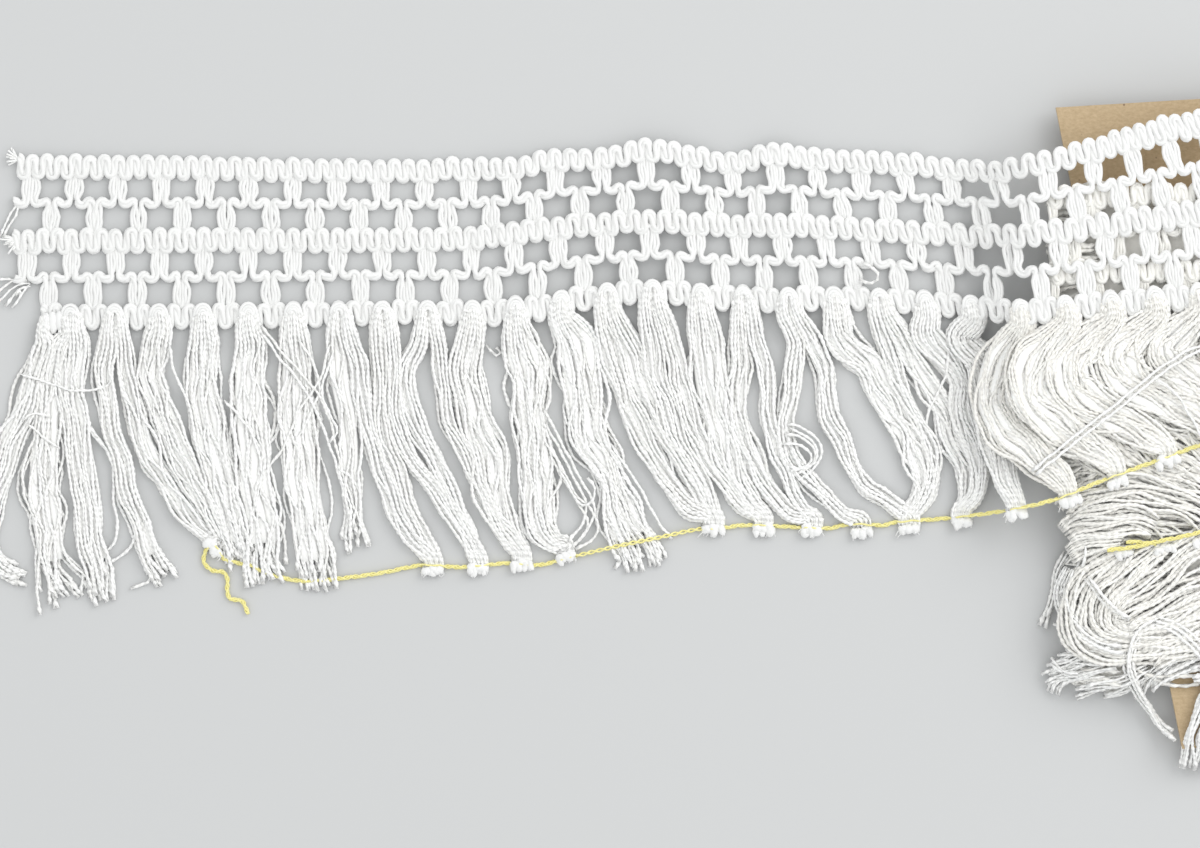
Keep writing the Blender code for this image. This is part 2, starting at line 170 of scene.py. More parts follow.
def cotton(name, light, shade, plies, slant, ripple, fluff):
    """Cotton whose fibres wind round the tube: plies round it, and slant of them a millimetre."""
    made, tree, shader = new_material(name, light, COTTON_ROUGHNESS)
    link = tree.links.new
    place = tree.nodes.new("ShaderNodeUVMap")
    place.uv_map = "strand"
    split = tree.nodes.new("ShaderNodeSeparateXYZ")
    link(place.outputs["UV"], split.inputs["Vector"])
    around = node(tree, "ShaderNodeMath", operation="MULTIPLY")
    around.inputs[1].default_value = plies * 2 * math.pi
    link(split.outputs["X"], around.inputs[0])
    wind = node(tree, "ShaderNodeMath", operation="MULTIPLY_ADD")
    wind.inputs[1].default_value = slant * 2 * math.pi
    link(split.outputs["Y"], wind.inputs[0])
    link(around.outputs[0], wind.inputs[2])
    wave = node(tree, "ShaderNodeMath", operation="SINE")
    link(wind.outputs[0], wave.inputs[0])

    body = tree.nodes.new("ShaderNodeTexCoord")
    fibres = node(tree, "ShaderNodeTexNoise", Scale=2600.0, Detail=3.0, Roughness=0.65)
    link(body.outputs["Object"], fibres.inputs["Vector"])
    height = node(tree, "ShaderNodeMath", operation="MULTIPLY_ADD")
    height.inputs[1].default_value = WAVE_SHARE
    link(wave.outputs[0], height.inputs[0])
    link(fibres.outputs["Fac"], height.inputs[2])
    bump = node(tree, "ShaderNodeBump", Strength=ripple, Distance=0.00022)
    link(height.outputs[0], bump.inputs["Height"])
    link(bump.outputs["Normal"], shader.inputs["Normal"])

    tone = tree.nodes.new("ShaderNodeAttribute")
    tone.attribute_name = "tone"
    patches = node(tree, "ShaderNodeTexNoise", Scale=90.0, Detail=2.0, Roughness=0.5)
    link(body.outputs["Object"], patches.inputs["Vector"])
    mixed = node(tree, "ShaderNodeMath", operation="MULTIPLY_ADD")
    mixed.inputs[1].default_value = PATCH_SHARE
    link(patches.outputs["Fac"], mixed.inputs[0])
    link(tone.outputs["Fac"], mixed.inputs[2])
    ramp = colour_ramp(tree, (0.1, shade), (1.0, light))
    link(mixed.outputs[0], ramp.inputs["Fac"])
    link(ramp.outputs["Color"], shader.inputs["Base Color"])
    shader.inputs["Sheen Weight"].default_value = fluff
    shader.inputs["Sheen Roughness"].default_value = 0.45
    shader.inputs["Specular IOR Level"].default_value = 0.2
    return made


cord_cotton = cotton("cord_cotton", (0.80, 0.80, 0.79), (0.77, 0.77, 0.755), 2, 0.55, 0.25, 0.9)
yarn_cotton = cotton("yarn_cotton", (0.93, 0.93, 0.915), (0.90, 0.895, 0.87), 2, 0.60, 0.12, 0.7)
# The cotton on the wound turns is the same cotton, tinted warmer and a little darker all over: painted warm
# shade of the packed turns.
warm_shade_cotton = cotton("warm_shade_cotton", (0.92, 0.91, 0.87), (0.88, 0.86, 0.81), 2, 0.60, 0.12, 0.7)
yellow_thread = cotton("yellow_thread", (0.87, 0.81, 0.36), (0.80, 0.71, 0.20), 2, 0.9, 0.4, 0.3)
finishes = (cord_cotton, yarn_cotton, warm_shade_cotton, yellow_thread)
print("cotton finishes:", ", ".join(finish.name for finish in finishes))

# %% [markdown]
# ## Reading smooth lines from short tables
# A trim that a hand has laid down has no straight lines, but its curves are gentle. A few
# points are enough, if everything between them is read from one smooth curve. We use the
# same curve for the heading's shape, the yarns' routes and their widths.


# %% Read a table smoothly
def smooth(keys, values, at):
    """Values of a table at many places, on a smooth curve through its rows."""
    keys = np.asarray(keys, float)
    values = np.asarray(values, float)
    if values.ndim == 1:
        return smooth(keys, values[:, None], at)[:, 0]
    at = np.clip(np.atleast_1d(at), keys[0], keys[-1])
    low = np.clip(np.searchsorted(keys, at, side="right") - 1, 0, len(keys) - 2)
    slopes = np.empty_like(values)
    slopes[1:-1] = (values[2:] - values[:-2]) / (keys[2:] - keys[:-2])[:, None]
    slopes[0] = (values[1] - values[0]) / (keys[1] - keys[0])
    slopes[-1] = (values[-1] - values[-2]) / (keys[-1] - keys[-2])
    span = (keys[low + 1] - keys[low])[:, None]
    t = (at - keys[low])[:, None] / span
    bend = (2 * t**3 - 3 * t**2 + 1) * values[low] + (3 * t**2 - 2 * t**3) * values[low + 1]
    lean = (t**3 - 2 * t**2 + t) * slopes[low] + (t**3 - t**2) * slopes[low + 1]
    return bend + lean * span


def along(points):
    """Distance of each point from the first, measured along the route."""
    points = np.asarray(points, float)
    steps = np.linalg.norm(np.diff(points, axis=0), axis=1)
    return np.concatenate([[0.0], np.cumsum(steps)])


print("a small hill, read at its quarters:", smooth((0, 1, 2), (0.0, 1.0, 0.0), (0.5, 1.0, 1.5)))

# %% [markdown]
# ## The surface that the trim lies on
# The left part lies on the table. At the right the trim climbs onto the turns that are
# already wound, and stays there. The heading is described by eighteen cross lines, each
# with its upper end, middle and lower end, and by how high a fold lifts it there.

# %% The heading's cross lines
RISE_FROM, RISE_TO, RISE_HEIGHT = 69.0, 94.0, 13.1
HALF_UP, HALF_DOWN = 23.5, 23.1
LIFT_SHARE = 0.6
PITCH = 12.0

Section = namedtuple("Section", "bar top_x top_y mid_x mid_y low_x low_y lift")
SECTIONS = (
    Section(-0.5, -184.0, 71.0, -185.5, 47.5, -186.0, 24.5, 0.0),
    Section(4.0, -131.5, 70.5, -132.0, 48.0, -132.0, 24.5, 0.0),
    Section(8.0, -84.5, 69.5, -84.0, 48.0, -83.5, 25.5, 0.0),
    Section(10.0, -61.0, 70.0, -60.0, 48.5, -59.5, 25.5, 0.0),
    Section(11.0, -49.5, 70.0, -48.5, 50.0, -47.5, 26.0, 1.5),
    Section(12.0, -37.5, 72.5, -36.5, 51.5, -35.5, 28.0, 1.0),
    Section(13.0, -25.0, 72.5, -24.0, 52.5, -23.0, 30.0, 2.0),
    Section(14.0, -13.0, 75.0, -12.0, 53.0, -11.0, 31.5, 3.0),
    Section(15.0, -1.5, 73.5, 0.5, 52.5, 2.0, 30.0, 2.0),
    Section(16.0, 10.0, 71.5, 12.0, 52.0, 14.0, 29.5, 0.5),
    Section(17.0, 21.5, 74.0, 23.5, 52.0, 26.0, 29.0, 2.5),
    Section(18.0, 32.5, 72.5, 35.0, 51.5, 38.5, 29.5, 0.5),
    Section(20.0, 56.0, 71.5, 59.5, 50.0, 63.0, 28.5, 0.5),
    Section(22.0, 80.5, 69.0, 85.0, 49.0, 88.0, 25.5, 0.5),
    Section(23.0, 93.5, 71.5, 97.0, 50.0, 100.0, 26.5, 0.0),
    Section(24.0, 105.5, 74.5, 109.5, 51.5, 112.0, 27.5, 0.0),
    Section(26.0, 125.0, 80.5, 132.5, 54.5, 135.5, 29.5, 0.0),
    Section(30.0, 163.0, 88.0, 177.5, 60.0, 182.5, 34.0, 0.0),
)
# The turn below the top one runs straighter, and ends just inside the pack's right edge.
SECOND_TURN = (
    Section(0.0, 95.0, 62.5, 95.5, 39.0, 96.0, 16.0, -2.1),
    Section(3.0, 130.5, 63.0, 131.5, 39.5, 132.0, 16.5, -2.2),
    Section(7.5, 185.0, 61.5, 185.5, 38.0, 186.0, 15.0, -2.3),
)


def rise(x):
    """Height of the trim's underside where it climbs onto the wound turns."""
    t = np.clip((x - RISE_FROM) / (RISE_TO - RISE_FROM), 0.0, 1.0)
    return RISE_HEIGHT * t * t * (3.0 - 2.0 * t)


def heading_place(bar, height, table=SECTIONS):
    """Points of the trim's underside, from bar numbers and heights above the middle line."""
    bar, height = np.broadcast_arrays(np.atleast_1d(bar).astype(float), height)
    rows = smooth([row.bar for row in table], [row[1:] for row in table], bar)
    up = height > 0
    share = np.where(up, height / HALF_UP, -height / HALF_DOWN)
    edge_x = np.where(up, rows[:, 0], rows[:, 4])
    edge_y = np.where(up, rows[:, 1], rows[:, 5])
    x = rows[:, 2] + (edge_x - rows[:, 2]) * share
    y = rows[:, 3] + (edge_y - rows[:, 3]) * share
    lift = rows[:, 6] if table is SECOND_TURN else LIFT_SHARE * np.maximum(rows[:, 6], 0.0)
    return np.stack([x, y, lift + rise(x)], axis=1)


HEADING_FIRST, HEADING_LAST = -0.5, 28.5
for bar in (HEADING_FIRST, HEADING_LAST):
    print(f"the heading's middle at bar {bar}:", heading_place(bar, 0.0).round(1)[0])

# %% [markdown]
# ## Turning routes into yarn
# Every cord, ply and yarn here is a tube along a route. Blender's curve objects could do
# that, but a thousand of them are slow, and each needs its own bevel. Instead we put rings
# of points round each route and join them into one mesh. A ring of six points makes a
# round ply. A ring of five that is a little flat, and turns at every step, makes a twisted
# yarn, which is just how two plies twisted together look.


# %% Rings of points round a route
def rings(path, radius, sides, spin=0.0, flat=1.0):
    """Rings of points round a path. Spin turns each ring, and flat squeezes it one way."""
    ahead = np.gradient(path, axis=0)
    ahead /= np.maximum(np.linalg.norm(ahead, axis=1), 1e-9)[:, None]
    aside = np.cross(ahead, (0.0, 0.0, 1.0))
    aside /= np.maximum(np.linalg.norm(aside, axis=1), 1e-6)[:, None]
    above = np.cross(aside, ahead)
    angle = 2 * np.pi * np.arange(sides) / sides
    radius = np.broadcast_to(radius, len(path))[:, None]
    spin = np.broadcast_to(spin, len(path))[:, None]
    wide, tall = radius * np.cos(angle), radius * flat * np.sin(angle)
    out = wide * np.cos(spin) - tall * np.sin(spin)
    up = wide * np.sin(spin) + tall * np.cos(spin)
    return path[:, None] + aside[:, None] * out[..., None] + above[:, None] * up[..., None]


# %% One mesh from many tubes
LOWEST = 0.02


class Skein:
    """Collects tubes, and makes one mesh object of them."""

    def __init__(self):
        self.points, self.corners, self.sizes = [], [], []
        self.strand, self.tone, self.count = [], [], 0

    def add(self, tube, tone=0.5):
        """Adds one tube, given as its rings, with closed ends."""
        count, sides = tube.shape[:2]
        grid = self.count + np.arange(count * sides).reshape(count, sides)
        after = np.roll(grid, -1, axis=1)
        walls = np.stack([grid[:-1], grid[1:], after[1:], after[:-1]], axis=-1).reshape(-1, 4)
        length = along(tube.mean(axis=1))
        near = np.arange(sides) / sides
        far = near + 1.0 / sides
        start = np.repeat(length[:-1], sides)
        end = np.repeat(length[1:], sides)
        near, far = np.tile(near, count - 1), np.tile(far, count - 1)
        places = np.stack([near, start, near, end, far, end, far, start], axis=1).reshape(-1, 2)
        self.points.append(tube.reshape(-1, 3))
        self.corners += [walls.ravel(), grid[0], grid[-1][::-1]]
        self.sizes += [np.full(len(walls), 4), np.array([sides, sides])]
        self.strand += [places, np.zeros((2 * sides, 2))]
        self.tone.append(np.full(count * sides, tone))
        self.count += count * sides

    def triangles(self):
        """Number of triangles so far."""
        return int(sum((sizes - 2).sum() for sizes in self.sizes))

    def to_object(self, name, finish):
        """Makes the mesh, in metres, and lets it ride on the part."""
        corners, sizes = np.concatenate(self.corners), np.concatenate(self.sizes)
        mesh = bpy.data.meshes.new(name)
        mesh.vertices.add(self.count)
        points = np.concatenate(self.points)
        points[:, 2] = np.maximum(points[:, 2], LOWEST)
        mesh.vertices.foreach_set("co", (points * MM).ravel())
        mesh.loops.add(len(corners))
        mesh.loops.foreach_set("vertex_index", corners.astype(np.int32))
        mesh.polygons.add(len(sizes))
        starts = np.concatenate([[0], np.cumsum(sizes)[:-1]])
        mesh.polygons.foreach_set("loop_start", starts.astype(np.int32))
        mesh.polygons.foreach_set("use_smooth", np.ones(len(sizes), bool))
        mesh.update(calc_edges=True)
        layer = mesh.uv_layers.new(name="strand")
        layer.uv.foreach_set("vector", np.concatenate(self.strand).astype(np.float32).ravel())
        tone = mesh.attributes.new("tone", "FLOAT", "POINT")
        tone.data.foreach_set("value", np.concatenate(self.tone).astype(np.float32))
        mesh.materials.append(finish)
        made = bpy.data.objects.new(name, mesh)
        bpy.context.collection.objects.link(made)
        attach(made, "root")
        print(f"{name}: {self.triangles()} triangles")
        return made


# %% [markdown]
# ## A steady kind of chance
# No two loops of real trim are alike. A seeded random generator gives every loop and yarn
# its own small error, and gives the same errors each time the script runs. Errors along a
# yarn must be smooth, so they are sums of a few slow waves.

# %% Smooth small errors
SEED = 27
WAVES = 3
WAVE_RANGE = (0.6, 1.7)
WAVE_SUM = 1.7

dice = np.random.default_rng(SEED)


def waver(distance, wave, strength):
    """A smooth random line over distances along a route. Wave is its length, strength its height."""
    total = np.zeros(len(distance))
    for _ in range(WAVES):
        length = wave * dice.uniform(*WAVE_RANGE)
        total += np.sin(2 * np.pi * distance / length + dice.uniform(0, 2 * np.pi))
    return strength * total / WAVE_SUM


# %% [markdown]
# ## The three corded bands
# The top, middle and lower bands are one cord each, laid in a tight zigzag with three
# round loops for every bar. The cord itself has three plies. We first draw the line of the
# zigzag: its sideways step slows down in the arms and speeds up in the loops, so the arms
# stand upright and side by side. Then three plies follow that line, turning slowly.

# %% Draw a cord as its plies
PLY = 0.75
TURN_PITCH = 17.0
PLY_OUT, PLY_UP = 0.50, 0.42
REED_GAP, REED_THINNER = 0.84, 0.30


def lay_cord(skein, path, spread, ply=PLY, sides=6, lay=0.0):
    """Adds a three-ply cord. Where spread is over 1, its plies open flat, side by side."""
    distance = along(path)
    ahead = np.gradient(path, axis=0)
    aside = np.cross(ahead, (0.0, 0.0, 1.0))
    aside /= np.maximum(np.linalg.norm(aside, axis=1), 1e-6)[:, None]
    opened = np.clip(spread - 1.0, 0.0, 1.0)
    turn = lay + 2 * np.pi * distance / TURN_PITCH
    for number in range(3):
        angle = turn + 2 * np.pi * number / 3
        out = (1 - opened) * PLY_OUT * np.cos(angle) + opened * (number - 1) * REED_GAP
        up = (1 - opened) * PLY_UP * np.sin(angle) + opened * waver(distance, 9.0, 0.12)
        wobble = waver(distance, 6.0, 0.05) * (1 + 2.0 * opened)
        route = path + aside * (out + wobble)[:, None]
        route[:, 2] += up
        skein.add(rings(route, ply * (1.0 - REED_THINNER * opened), sides), dice.uniform(0.2, 0.9))


# %% Draw the zigzag
LOOPS = 3
BAND_STEPS = 18
ARM_DWELL = 0.50
ARM_SQUARE = 0.7
BAND_RAISED, LOOP_CROSSING = 1.12, 0.14


def zigzag(first, last, middle, reach, table=SECTIONS, steps=BAND_STEPS):
    """Line of a band's cord from one bar number to another."""
    loops = round((last - first) * LOOPS)
    theta = np.arange(loops * steps + 1) * 2 * np.pi / steps
    sway = np.sin(2 * theta) * ARM_DWELL / (2 * np.pi * LOOPS)
    bar = first + theta / (2 * np.pi * LOOPS) + sway
    number = theta / (2 * np.pi)
    bar = bar + waver(number, 1.4, 0.010)
    tall = np.sign(np.cos(theta)) * np.abs(np.cos(theta)) ** ARM_SQUARE
    height = middle + reach * tall * (1 + waver(number, 1.8, 0.045)) + waver(number, 2.3, 0.22)
    path = heading_place(bar, height, table)
    path[:, 2] += BAND_RAISED + LOOP_CROSSING * np.cos(theta) + waver(number, 1.1, 0.12)
    return path


# %% Lay the bands
HALF_LOOP = 1 / (2 * LOOPS)
Band = namedtuple("Band", "name middle reach first")
BANDS = (
    Band("top_band", 20.25, 2.45, HEADING_FIRST),
    Band("middle_band", 0.0, 2.5, HEADING_FIRST),
    Band("lower_band", -20.3, 2.55, HALF_LOOP),
)

for band in BANDS:
    skein = Skein()
    line = zigzag(band.first + HALF_LOOP, HEADING_LAST, band.middle, band.reach)
    lay_cord(skein, line, np.ones(1), lay=dice.uniform(0, 6))
    skein.to_object(band.name, cord_cotton)

# %% [markdown]
# ## The meander cords and the bars
# Between the bands runs a second cord. It comes down from the band above, turns out, rises
# a little, and goes down again to the band below, then all that once more the other way
# round. Two of its arms lie side by side in every bar. There the plies open like a reed,
# which makes the bars look like little spindles.

# %% One repeat of the meander
Knee = namedtuple("Knee", "x height open z")
MEANDER = (
    Knee(0.00, 19.0, 0.0, 0.55),
    Knee(1.05, 17.2, 0.8, 0.90),
    Knee(1.22, 14.2, 1.0, 1.15),
    Knee(0.95, 11.7, 0.5, 1.10),
    Knee(1.55, 10.2, 0.0, 1.05),
    Knee(2.90, 10.1, 0.0, 1.05),
    Knee(3.75, 10.75, 0.0, 1.10),
    Knee(4.60, 11.0, 0.0, 1.15),
    Knee(5.15, 9.9, 0.3, 1.15),
    Knee(4.78, 6.8, 1.0, 1.15),
    Knee(5.02, 3.7, 0.8, 0.90),
    Knee(6.00, 1.9, 0.0, 0.50),
)
KNEE_STEPS = 2.6
KNEE_ERROR = (0.007, 0.11)
LOWER_ROW = 20.2


def meander(first, last, drop, table=SECTIONS):
    """Line of a meander cord, and how far its plies open. Drop moves it down the heading."""
    forward = [(k.x / PITCH, k.height - drop, k.open, k.z) for k in MEANDER]
    backward = [(1.0 - x, height, opened, z) for x, height, opened, z in forward[-2:0:-1]]
    repeat = np.array(forward + backward)
    shift = np.array([1.0, 0.0, 0.0, 0.0])
    knees = np.concatenate([repeat + shift * bar for bar in range(math.floor(first), int(last))])
    for column, error in enumerate(KNEE_ERROR):
        knees[:, column] += dice.normal(0, error, len(knees))
    keys = np.arange(len(knees))
    line = smooth(keys, knees, np.linspace(0, len(knees) - 1, int(len(knees) * KNEE_STEPS)))
    line = line[line[:, 0] > first]
    path = heading_place(line[:, 0], line[:, 1], table)
    path[:, 2] += line[:, 3]
    return path, 1.0 + line[:, 2]


skein = Skein()
lay_cord(skein, *meander(-0.38, HEADING_LAST, 0.0), lay=1.0)
lay_cord(skein, *meander(-0.30, HEADING_LAST, LOWER_ROW), lay=2.0)
heading_cords = skein.to_object("heading_cords", cord_cotton)
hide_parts("heading")

# %% [markdown]
# ## The locks of yarn
# Each lock is about twenty yarns. They come over the lower band in a rounded head, fan
# out, lie in two or three layers, and gather again at the yellow thread. Nothing says where
# a hand has left them, so the route of each lock is a short list: pixels of the picture,
# with the lock's width there. A lock also has the number of its bar, its half of the head
# (-1 is the left half, 1 the right one, and 0 a whole lock), the number of its yarns, how
# loosely they lie, and the number of the tuft that it ends in. A cut lock ends free.

# %% Where the tufts are
FREE = None
TUFTS = (
    (218, 546), (433, 567), (478, 565), (522, 561), (565, 553), (713, 525), (763, 525), (812, 527),
    (861, 528), (909, 525), (961, 518), (1012, 509), (1064, 497), (1112, 478), (1162, 457),
    (1212, 440), (1262, 423), (1312, 408),
)
print(f"{len(TUFTS)} tufts on the thread")

# %% Locks at the cut end
Lock = namedtuple("Lock", "bar half yarns loose tuft route")
LEFT_LOCKS = (
    Lock(0.55, -1, 15, 1.0, FREE, (
        (47, 345, 22), (28, 400, 28), (6, 460, 24), (-13, 520, 22), (-9, 552, 18), (10, 570, 16),
        (28, 581, 14),
    )),
    Lock(0.78, 1, 17, 1.7, FREE, (
        (59, 345, 20), (47, 400, 27), (46, 440, 31), (44, 480, 34), (46, 516, 36), (52, 560, 32),
        (68, 608, 56),
    )),
    Lock(1.05, 0, 20, 0.8, FREE, (
        (74, 345, 32), (70, 387, 30), (75, 420, 27), (80, 455, 25), (86, 500, 27), (93, 550, 26),
        (107, 605, 22),
    )),
    Lock(2.0, -1, 11, 0.8, FREE, (
        (108, 345, 20), (104, 376, 20), (110, 420, 20), (122, 465, 18), (133, 505, 22), (147, 545, 22),
        (168, 588, 28),
    )),
    Lock(2.0, 1, 10, 1.2, 0, (
        (124, 345, 16), (127, 375, 17), (134, 410, 18), (146, 445, 20), (166, 485, 20), (190, 517, 16),
        (210, 540, 10),
    )),
    Lock(3.0, 0, 16, 1.0, 0, (
        (156, 345, 30), (153, 380, 28), (166, 420, 28), (180, 455, 26), (198, 490, 24), (214, 520, 18),
        (222, 541, 12),
    )),
    Lock(4.0, 0, 20, 1.0, FREE, (
        (205, 345, 32), (201, 385, 34), (208, 430, 35), (218, 470, 34), (230, 515, 30), (243, 574, 27),
    )),
    Lock(5.0, 0, 20, 1.2, FREE, (
        (252, 345, 32), (249, 385, 35), (252, 430, 37), (256, 480, 38), (262, 530, 36), (270, 588, 40),
    )),
    Lock(6.0, 0, 20, 1.2, FREE, (
        (295, 345, 32), (297, 385, 35), (298, 430, 37), (303, 480, 38), (311, 530, 35), (320, 593, 35),
    )),
    Lock(7.05, -1, 9, 1.6, FREE, (
        (336, 345, 22), (344, 400, 22), (350, 450, 20), (352, 500, 18), (352, 556, 18),
    )),
    Lock(7.05, 1, 12, 0.8, 1, (
        (352, 345, 18), (361, 380, 18), (366, 422, 18), (376, 455, 18), (390, 495, 18), (408, 535, 16),
    )),
    Lock(8.0, -1, 10, 0.8, 1, (
        (379, 345, 17), (381, 385, 18), (383, 425, 17), (396, 470, 17), (416, 522, 15),
    )),
)

# %% Locks in the middle
MIDDLE_LOCKS = (
    Lock(8.0, 1, 11, 0.8, 2, (
        (392, 345, 16), (394, 385, 16), (394, 420, 15), (412, 460, 15), (440, 496, 15), (464, 533, 14),
    )),
    Lock(9.0, -1, 12, 0.8, 2, (
        (418, 345, 18), (407, 369, 20), (411, 409, 21), (434, 458, 19), (458, 512, 17),
    )),
    Lock(9.0, 1, 10, 1.0, 3, (
        (438, 345, 15), (441, 372, 14), (450, 425, 14), (472, 468, 14), (494, 515, 14),
    )),
    Lock(10.0, 0, 22, 0.9, 3, (
        (470, 345, 31), (465, 370, 32), (472, 409, 33), (486, 450, 36), (493, 485, 36), (500, 516, 30),
        (512, 541, 22),
    )),
    Lock(11.0, 0, 24, 1.0, 4, (
        (521, 345, 38), (529, 369, 46), (530, 410, 32), (536, 458, 34), (538, 500, 37), (543, 530, 28),
        (556, 544, 18),
    )),
    Lock(12.0, 0, 30, 1.1, FREE, (
        (577, 345, 46), (582, 382, 42), (587, 423, 40), (603, 463, 34), (611, 484, 26), (620, 508, 38),
        (628, 530, 40), (637, 553, 46), (642, 572, 46),
    )),
    Lock(13.0, -1, 5, 0.8, 5, (
        (604, 330, 10), (611, 350, 9), (622, 402, 9), (646, 453, 9), (666, 484, 9), (688, 514, 8),
    )),
    Lock(13.0, -1, 13, 0.9, 5, (
        (610, 345, 24), (617, 375, 25), (633, 410, 24), (654, 459, 22), (680, 494, 18),
    )),
    Lock(13.0, 1, 13, 0.9, 5, (
        (630, 345, 24), (640, 375, 24), (654, 405, 23), (676, 450, 21), (698, 488, 16),
    )),
    Lock(14.0, -1, 12, 0.9, 5, (
        (652, 345, 20), (660, 387, 20), (679, 441, 19), (700, 482, 16),
    )),
    Lock(14.0, 1, 12, 0.9, 6, (
        (672, 345, 20), (681, 387, 20), (699, 441, 19), (724, 482, 17), (745, 508, 14),
    )),
    Lock(15.0, 0, 24, 1.0, 6, (
        (706, 345, 36), (712, 387, 37), (721, 432, 34), (736, 476, 27), (752, 506, 19),
    )),
)

# %% Locks up to the turns
RIGHT_LOCKS = (
    Lock(16.0, -1, 13, 0.9, 7, (
        (740, 345, 21), (738, 378, 21), (737, 414, 18), (748, 450, 19), (767, 485, 19), (792, 514, 15),
    )),
    Lock(16.0, 1, 10, 1.1, 7, (
        (758, 345, 18), (766, 378, 16), (768, 410, 14), (776, 450, 14), (790, 482, 14), (804, 510, 12),
    )),
    Lock(17.0, -1, 11, 1.0, 8, (
        (796, 345, 18), (791, 385, 17), (785, 423, 16), (791, 456, 16), (813, 485, 16), (842, 512, 13),
    )),
    Lock(17.0, 1, 11, 1.0, 9, (
        (813, 345, 18), (825, 380, 18), (829, 414, 17), (842, 446, 16), (862, 482, 16), (888, 502, 13),
    )),
    Lock(18.0, 0, 22, 1.0, 9, (
        (842, 340, 30), (868, 366, 32), (882, 391, 30), (903, 423, 31), (920, 457, 31), (925, 485, 26),
    )),
    Lock(19.0, -1, 9, 0.9, 9, (
        (884, 340, 18), (892, 365, 17), (904, 393, 16), (920, 425, 16), (932, 458, 15), (930, 488, 12),
    )),
    Lock(19.0, 1, 13, 1.0, 10, (
        (900, 335, 22), (920, 372, 25), (940, 402, 24), (950, 434, 22), (966, 472, 21), (966, 496, 16),
    )),
    Lock(20.0, 0, 20, 1.0, 10, (
        (926, 335, 31), (950, 364, 30), (961, 385, 27), (962, 408, 24), (970, 442, 23), (978, 476, 21),
        (974, 498, 15),
    )),
    Lock(21.0, 0, 20, 1.0, 11, (
        (960, 338, 28), (978, 362, 30), (984, 388, 29), (989, 420, 28), (994, 448, 28), (1002, 476, 26),
    )),
)

# %% Locks on the turns
LOCKS_ON_TURNS = (
    Lock(22.0, 0, 25, 1.1, 12, (
        (1009, 345, 38), (997, 372, 46), (994, 404, 46), (1010, 434, 42), (1038, 460, 34),
        (1056, 479, 26),
    )),
    Lock(23.0, 0, 25, 1.1, 13, (
        (1045, 345, 38), (1028, 368, 47), (1028, 397, 47), (1052, 424, 42), (1084, 445, 34),
        (1105, 461, 26),
    )),
    Lock(24.0, 0, 25, 1.1, 14, (
        (1086, 340, 38), (1067, 362, 47), (1070, 388, 47), (1098, 411, 42), (1132, 428, 34),
        (1155, 442, 26),
    )),
    Lock(25.0, 0, 25, 1.1, 15, (
        (1131, 335, 38), (1113, 353, 47), (1120, 375, 47), (1150, 396, 42), (1184, 412, 34),
        (1206, 426, 26),
    )),
    Lock(26.0, 0, 25, 1.1, 16, (
        (1178, 330, 36), (1162, 350, 44), (1174, 370, 43), (1206, 388, 38), (1238, 400, 32),
        (1256, 411, 25),
    )),
    Lock(27.0, 0, 18, 1.0, 17, (
        (1222, 330, 36), (1214, 350, 42), (1238, 370, 40), (1276, 386, 32), (1302, 396, 26),
    )),
)
locks = (*LEFT_LOCKS, *MIDDLE_LOCKS, *RIGHT_LOCKS, *LOCKS_ON_TURNS)
print(f"{len(locks)} locks and half locks, {sum(lock.yarns for lock in locks)} yarns in their tables")

# %% [markdown]
# ## Two-ply yarn
# One yarn is a row of slightly flat rings that turn at every step, as its two plies do.
# Yarns that have been pulled about are thinner in places, so the thickness wavers too.

# %% Lay one yarn
YARN = 0.60
YARN_FLAT = 0.80
YARN_STEP = 1.5
YARN_TURN = math.radians(60)
YARN_START = 0.6
FRAYED_TIP, TUCKED_TIP = (1.3, 1.15), (0.9, 0.7)
ARCH_STOPS = (0.0, 0.5, 1.1, 1.8, 2.6)


def lay_yarn(skein, path, thick=YARN, frayed=False, arched=False, step=YARN_STEP, sides=5):
    """Adds a twisted yarn along a path of points in millimetres."""
    distance = along(path)
    stops = np.linspace(0, distance[-1], max(4, int(distance[-1] / step)))
    if arched:
        stops = np.concatenate([ARCH_STOPS, stops[stops > ARCH_STOPS[-1] + 0.5]])
    path = smooth(distance, path, stops)
    radius = thick * (1 + waver(stops, 9.0, 0.08))
    radius[-2:] *= FRAYED_TIP if frayed else TUCKED_TIP
    radius[0] *= YARN_START
    spin = dice.uniform(0, 6) + YARN_TURN * np.arange(len(stops))
    skein.add(rings(path, radius, sides, spin, YARN_FLAT), dice.uniform(0.0, 1.0))


# %% [markdown]
# ## Combing a lock
# A lock could be a particle system with its hair combed by hand, but then the meshes could
# not be handed on. So each yarn is laid by a formula. It has a place across the lock, from
# one edge to the other, and a layer. It drifts a little from that place, follows the waves
# of its lock, and has a fine crimp of its own. A few wild yarns drift more than the rest.

# %% Middle line of a lock
HEAD_PLACES = (-17.8, -19.8, -23.8)
HEAD_WIDTHS = (4.2, 5.4, 7.2)
FIRST_HEAD_LOWER = 1.4
HALF_SHIFTS, HALF_WIDTH = (1.0, 1.3, 1.8), 0.52
ABOVE_TUFT, BELOW_TUFT = (2.2, 4.8), (0.6, 5.4)


def lock_line(lock):
    """Middle line of a lock with its widths, from the top of its head to its end."""
    lower = FIRST_HEAD_LOWER if lock.bar < 1 else 0.0
    tops = heading_place(lock.bar, np.array(HEAD_PLACES) - lower)
    shift = lock.half * np.array(HALF_SHIFTS)
    share = HALF_WIDTH if lock.half else 1.0
    points = [(x + step, y, width * share) for (x, y, _), step, width in zip(tops, shift, HEAD_WIDTHS)]
    points += [(*on_table(x, y), width * PIXEL) for x, y, width in lock.route]
    if lock.tuft is not FREE:
        x, y = on_table(*TUFTS[lock.tuft])
        points.append((x, y + ABOVE_TUFT[0], ABOVE_TUFT[1]))
        points.append((x, y - BELOW_TUFT[0], BELOW_TUFT[1]))
    return np.array(points), tops[0, 2] - rise(tops[0, 0])


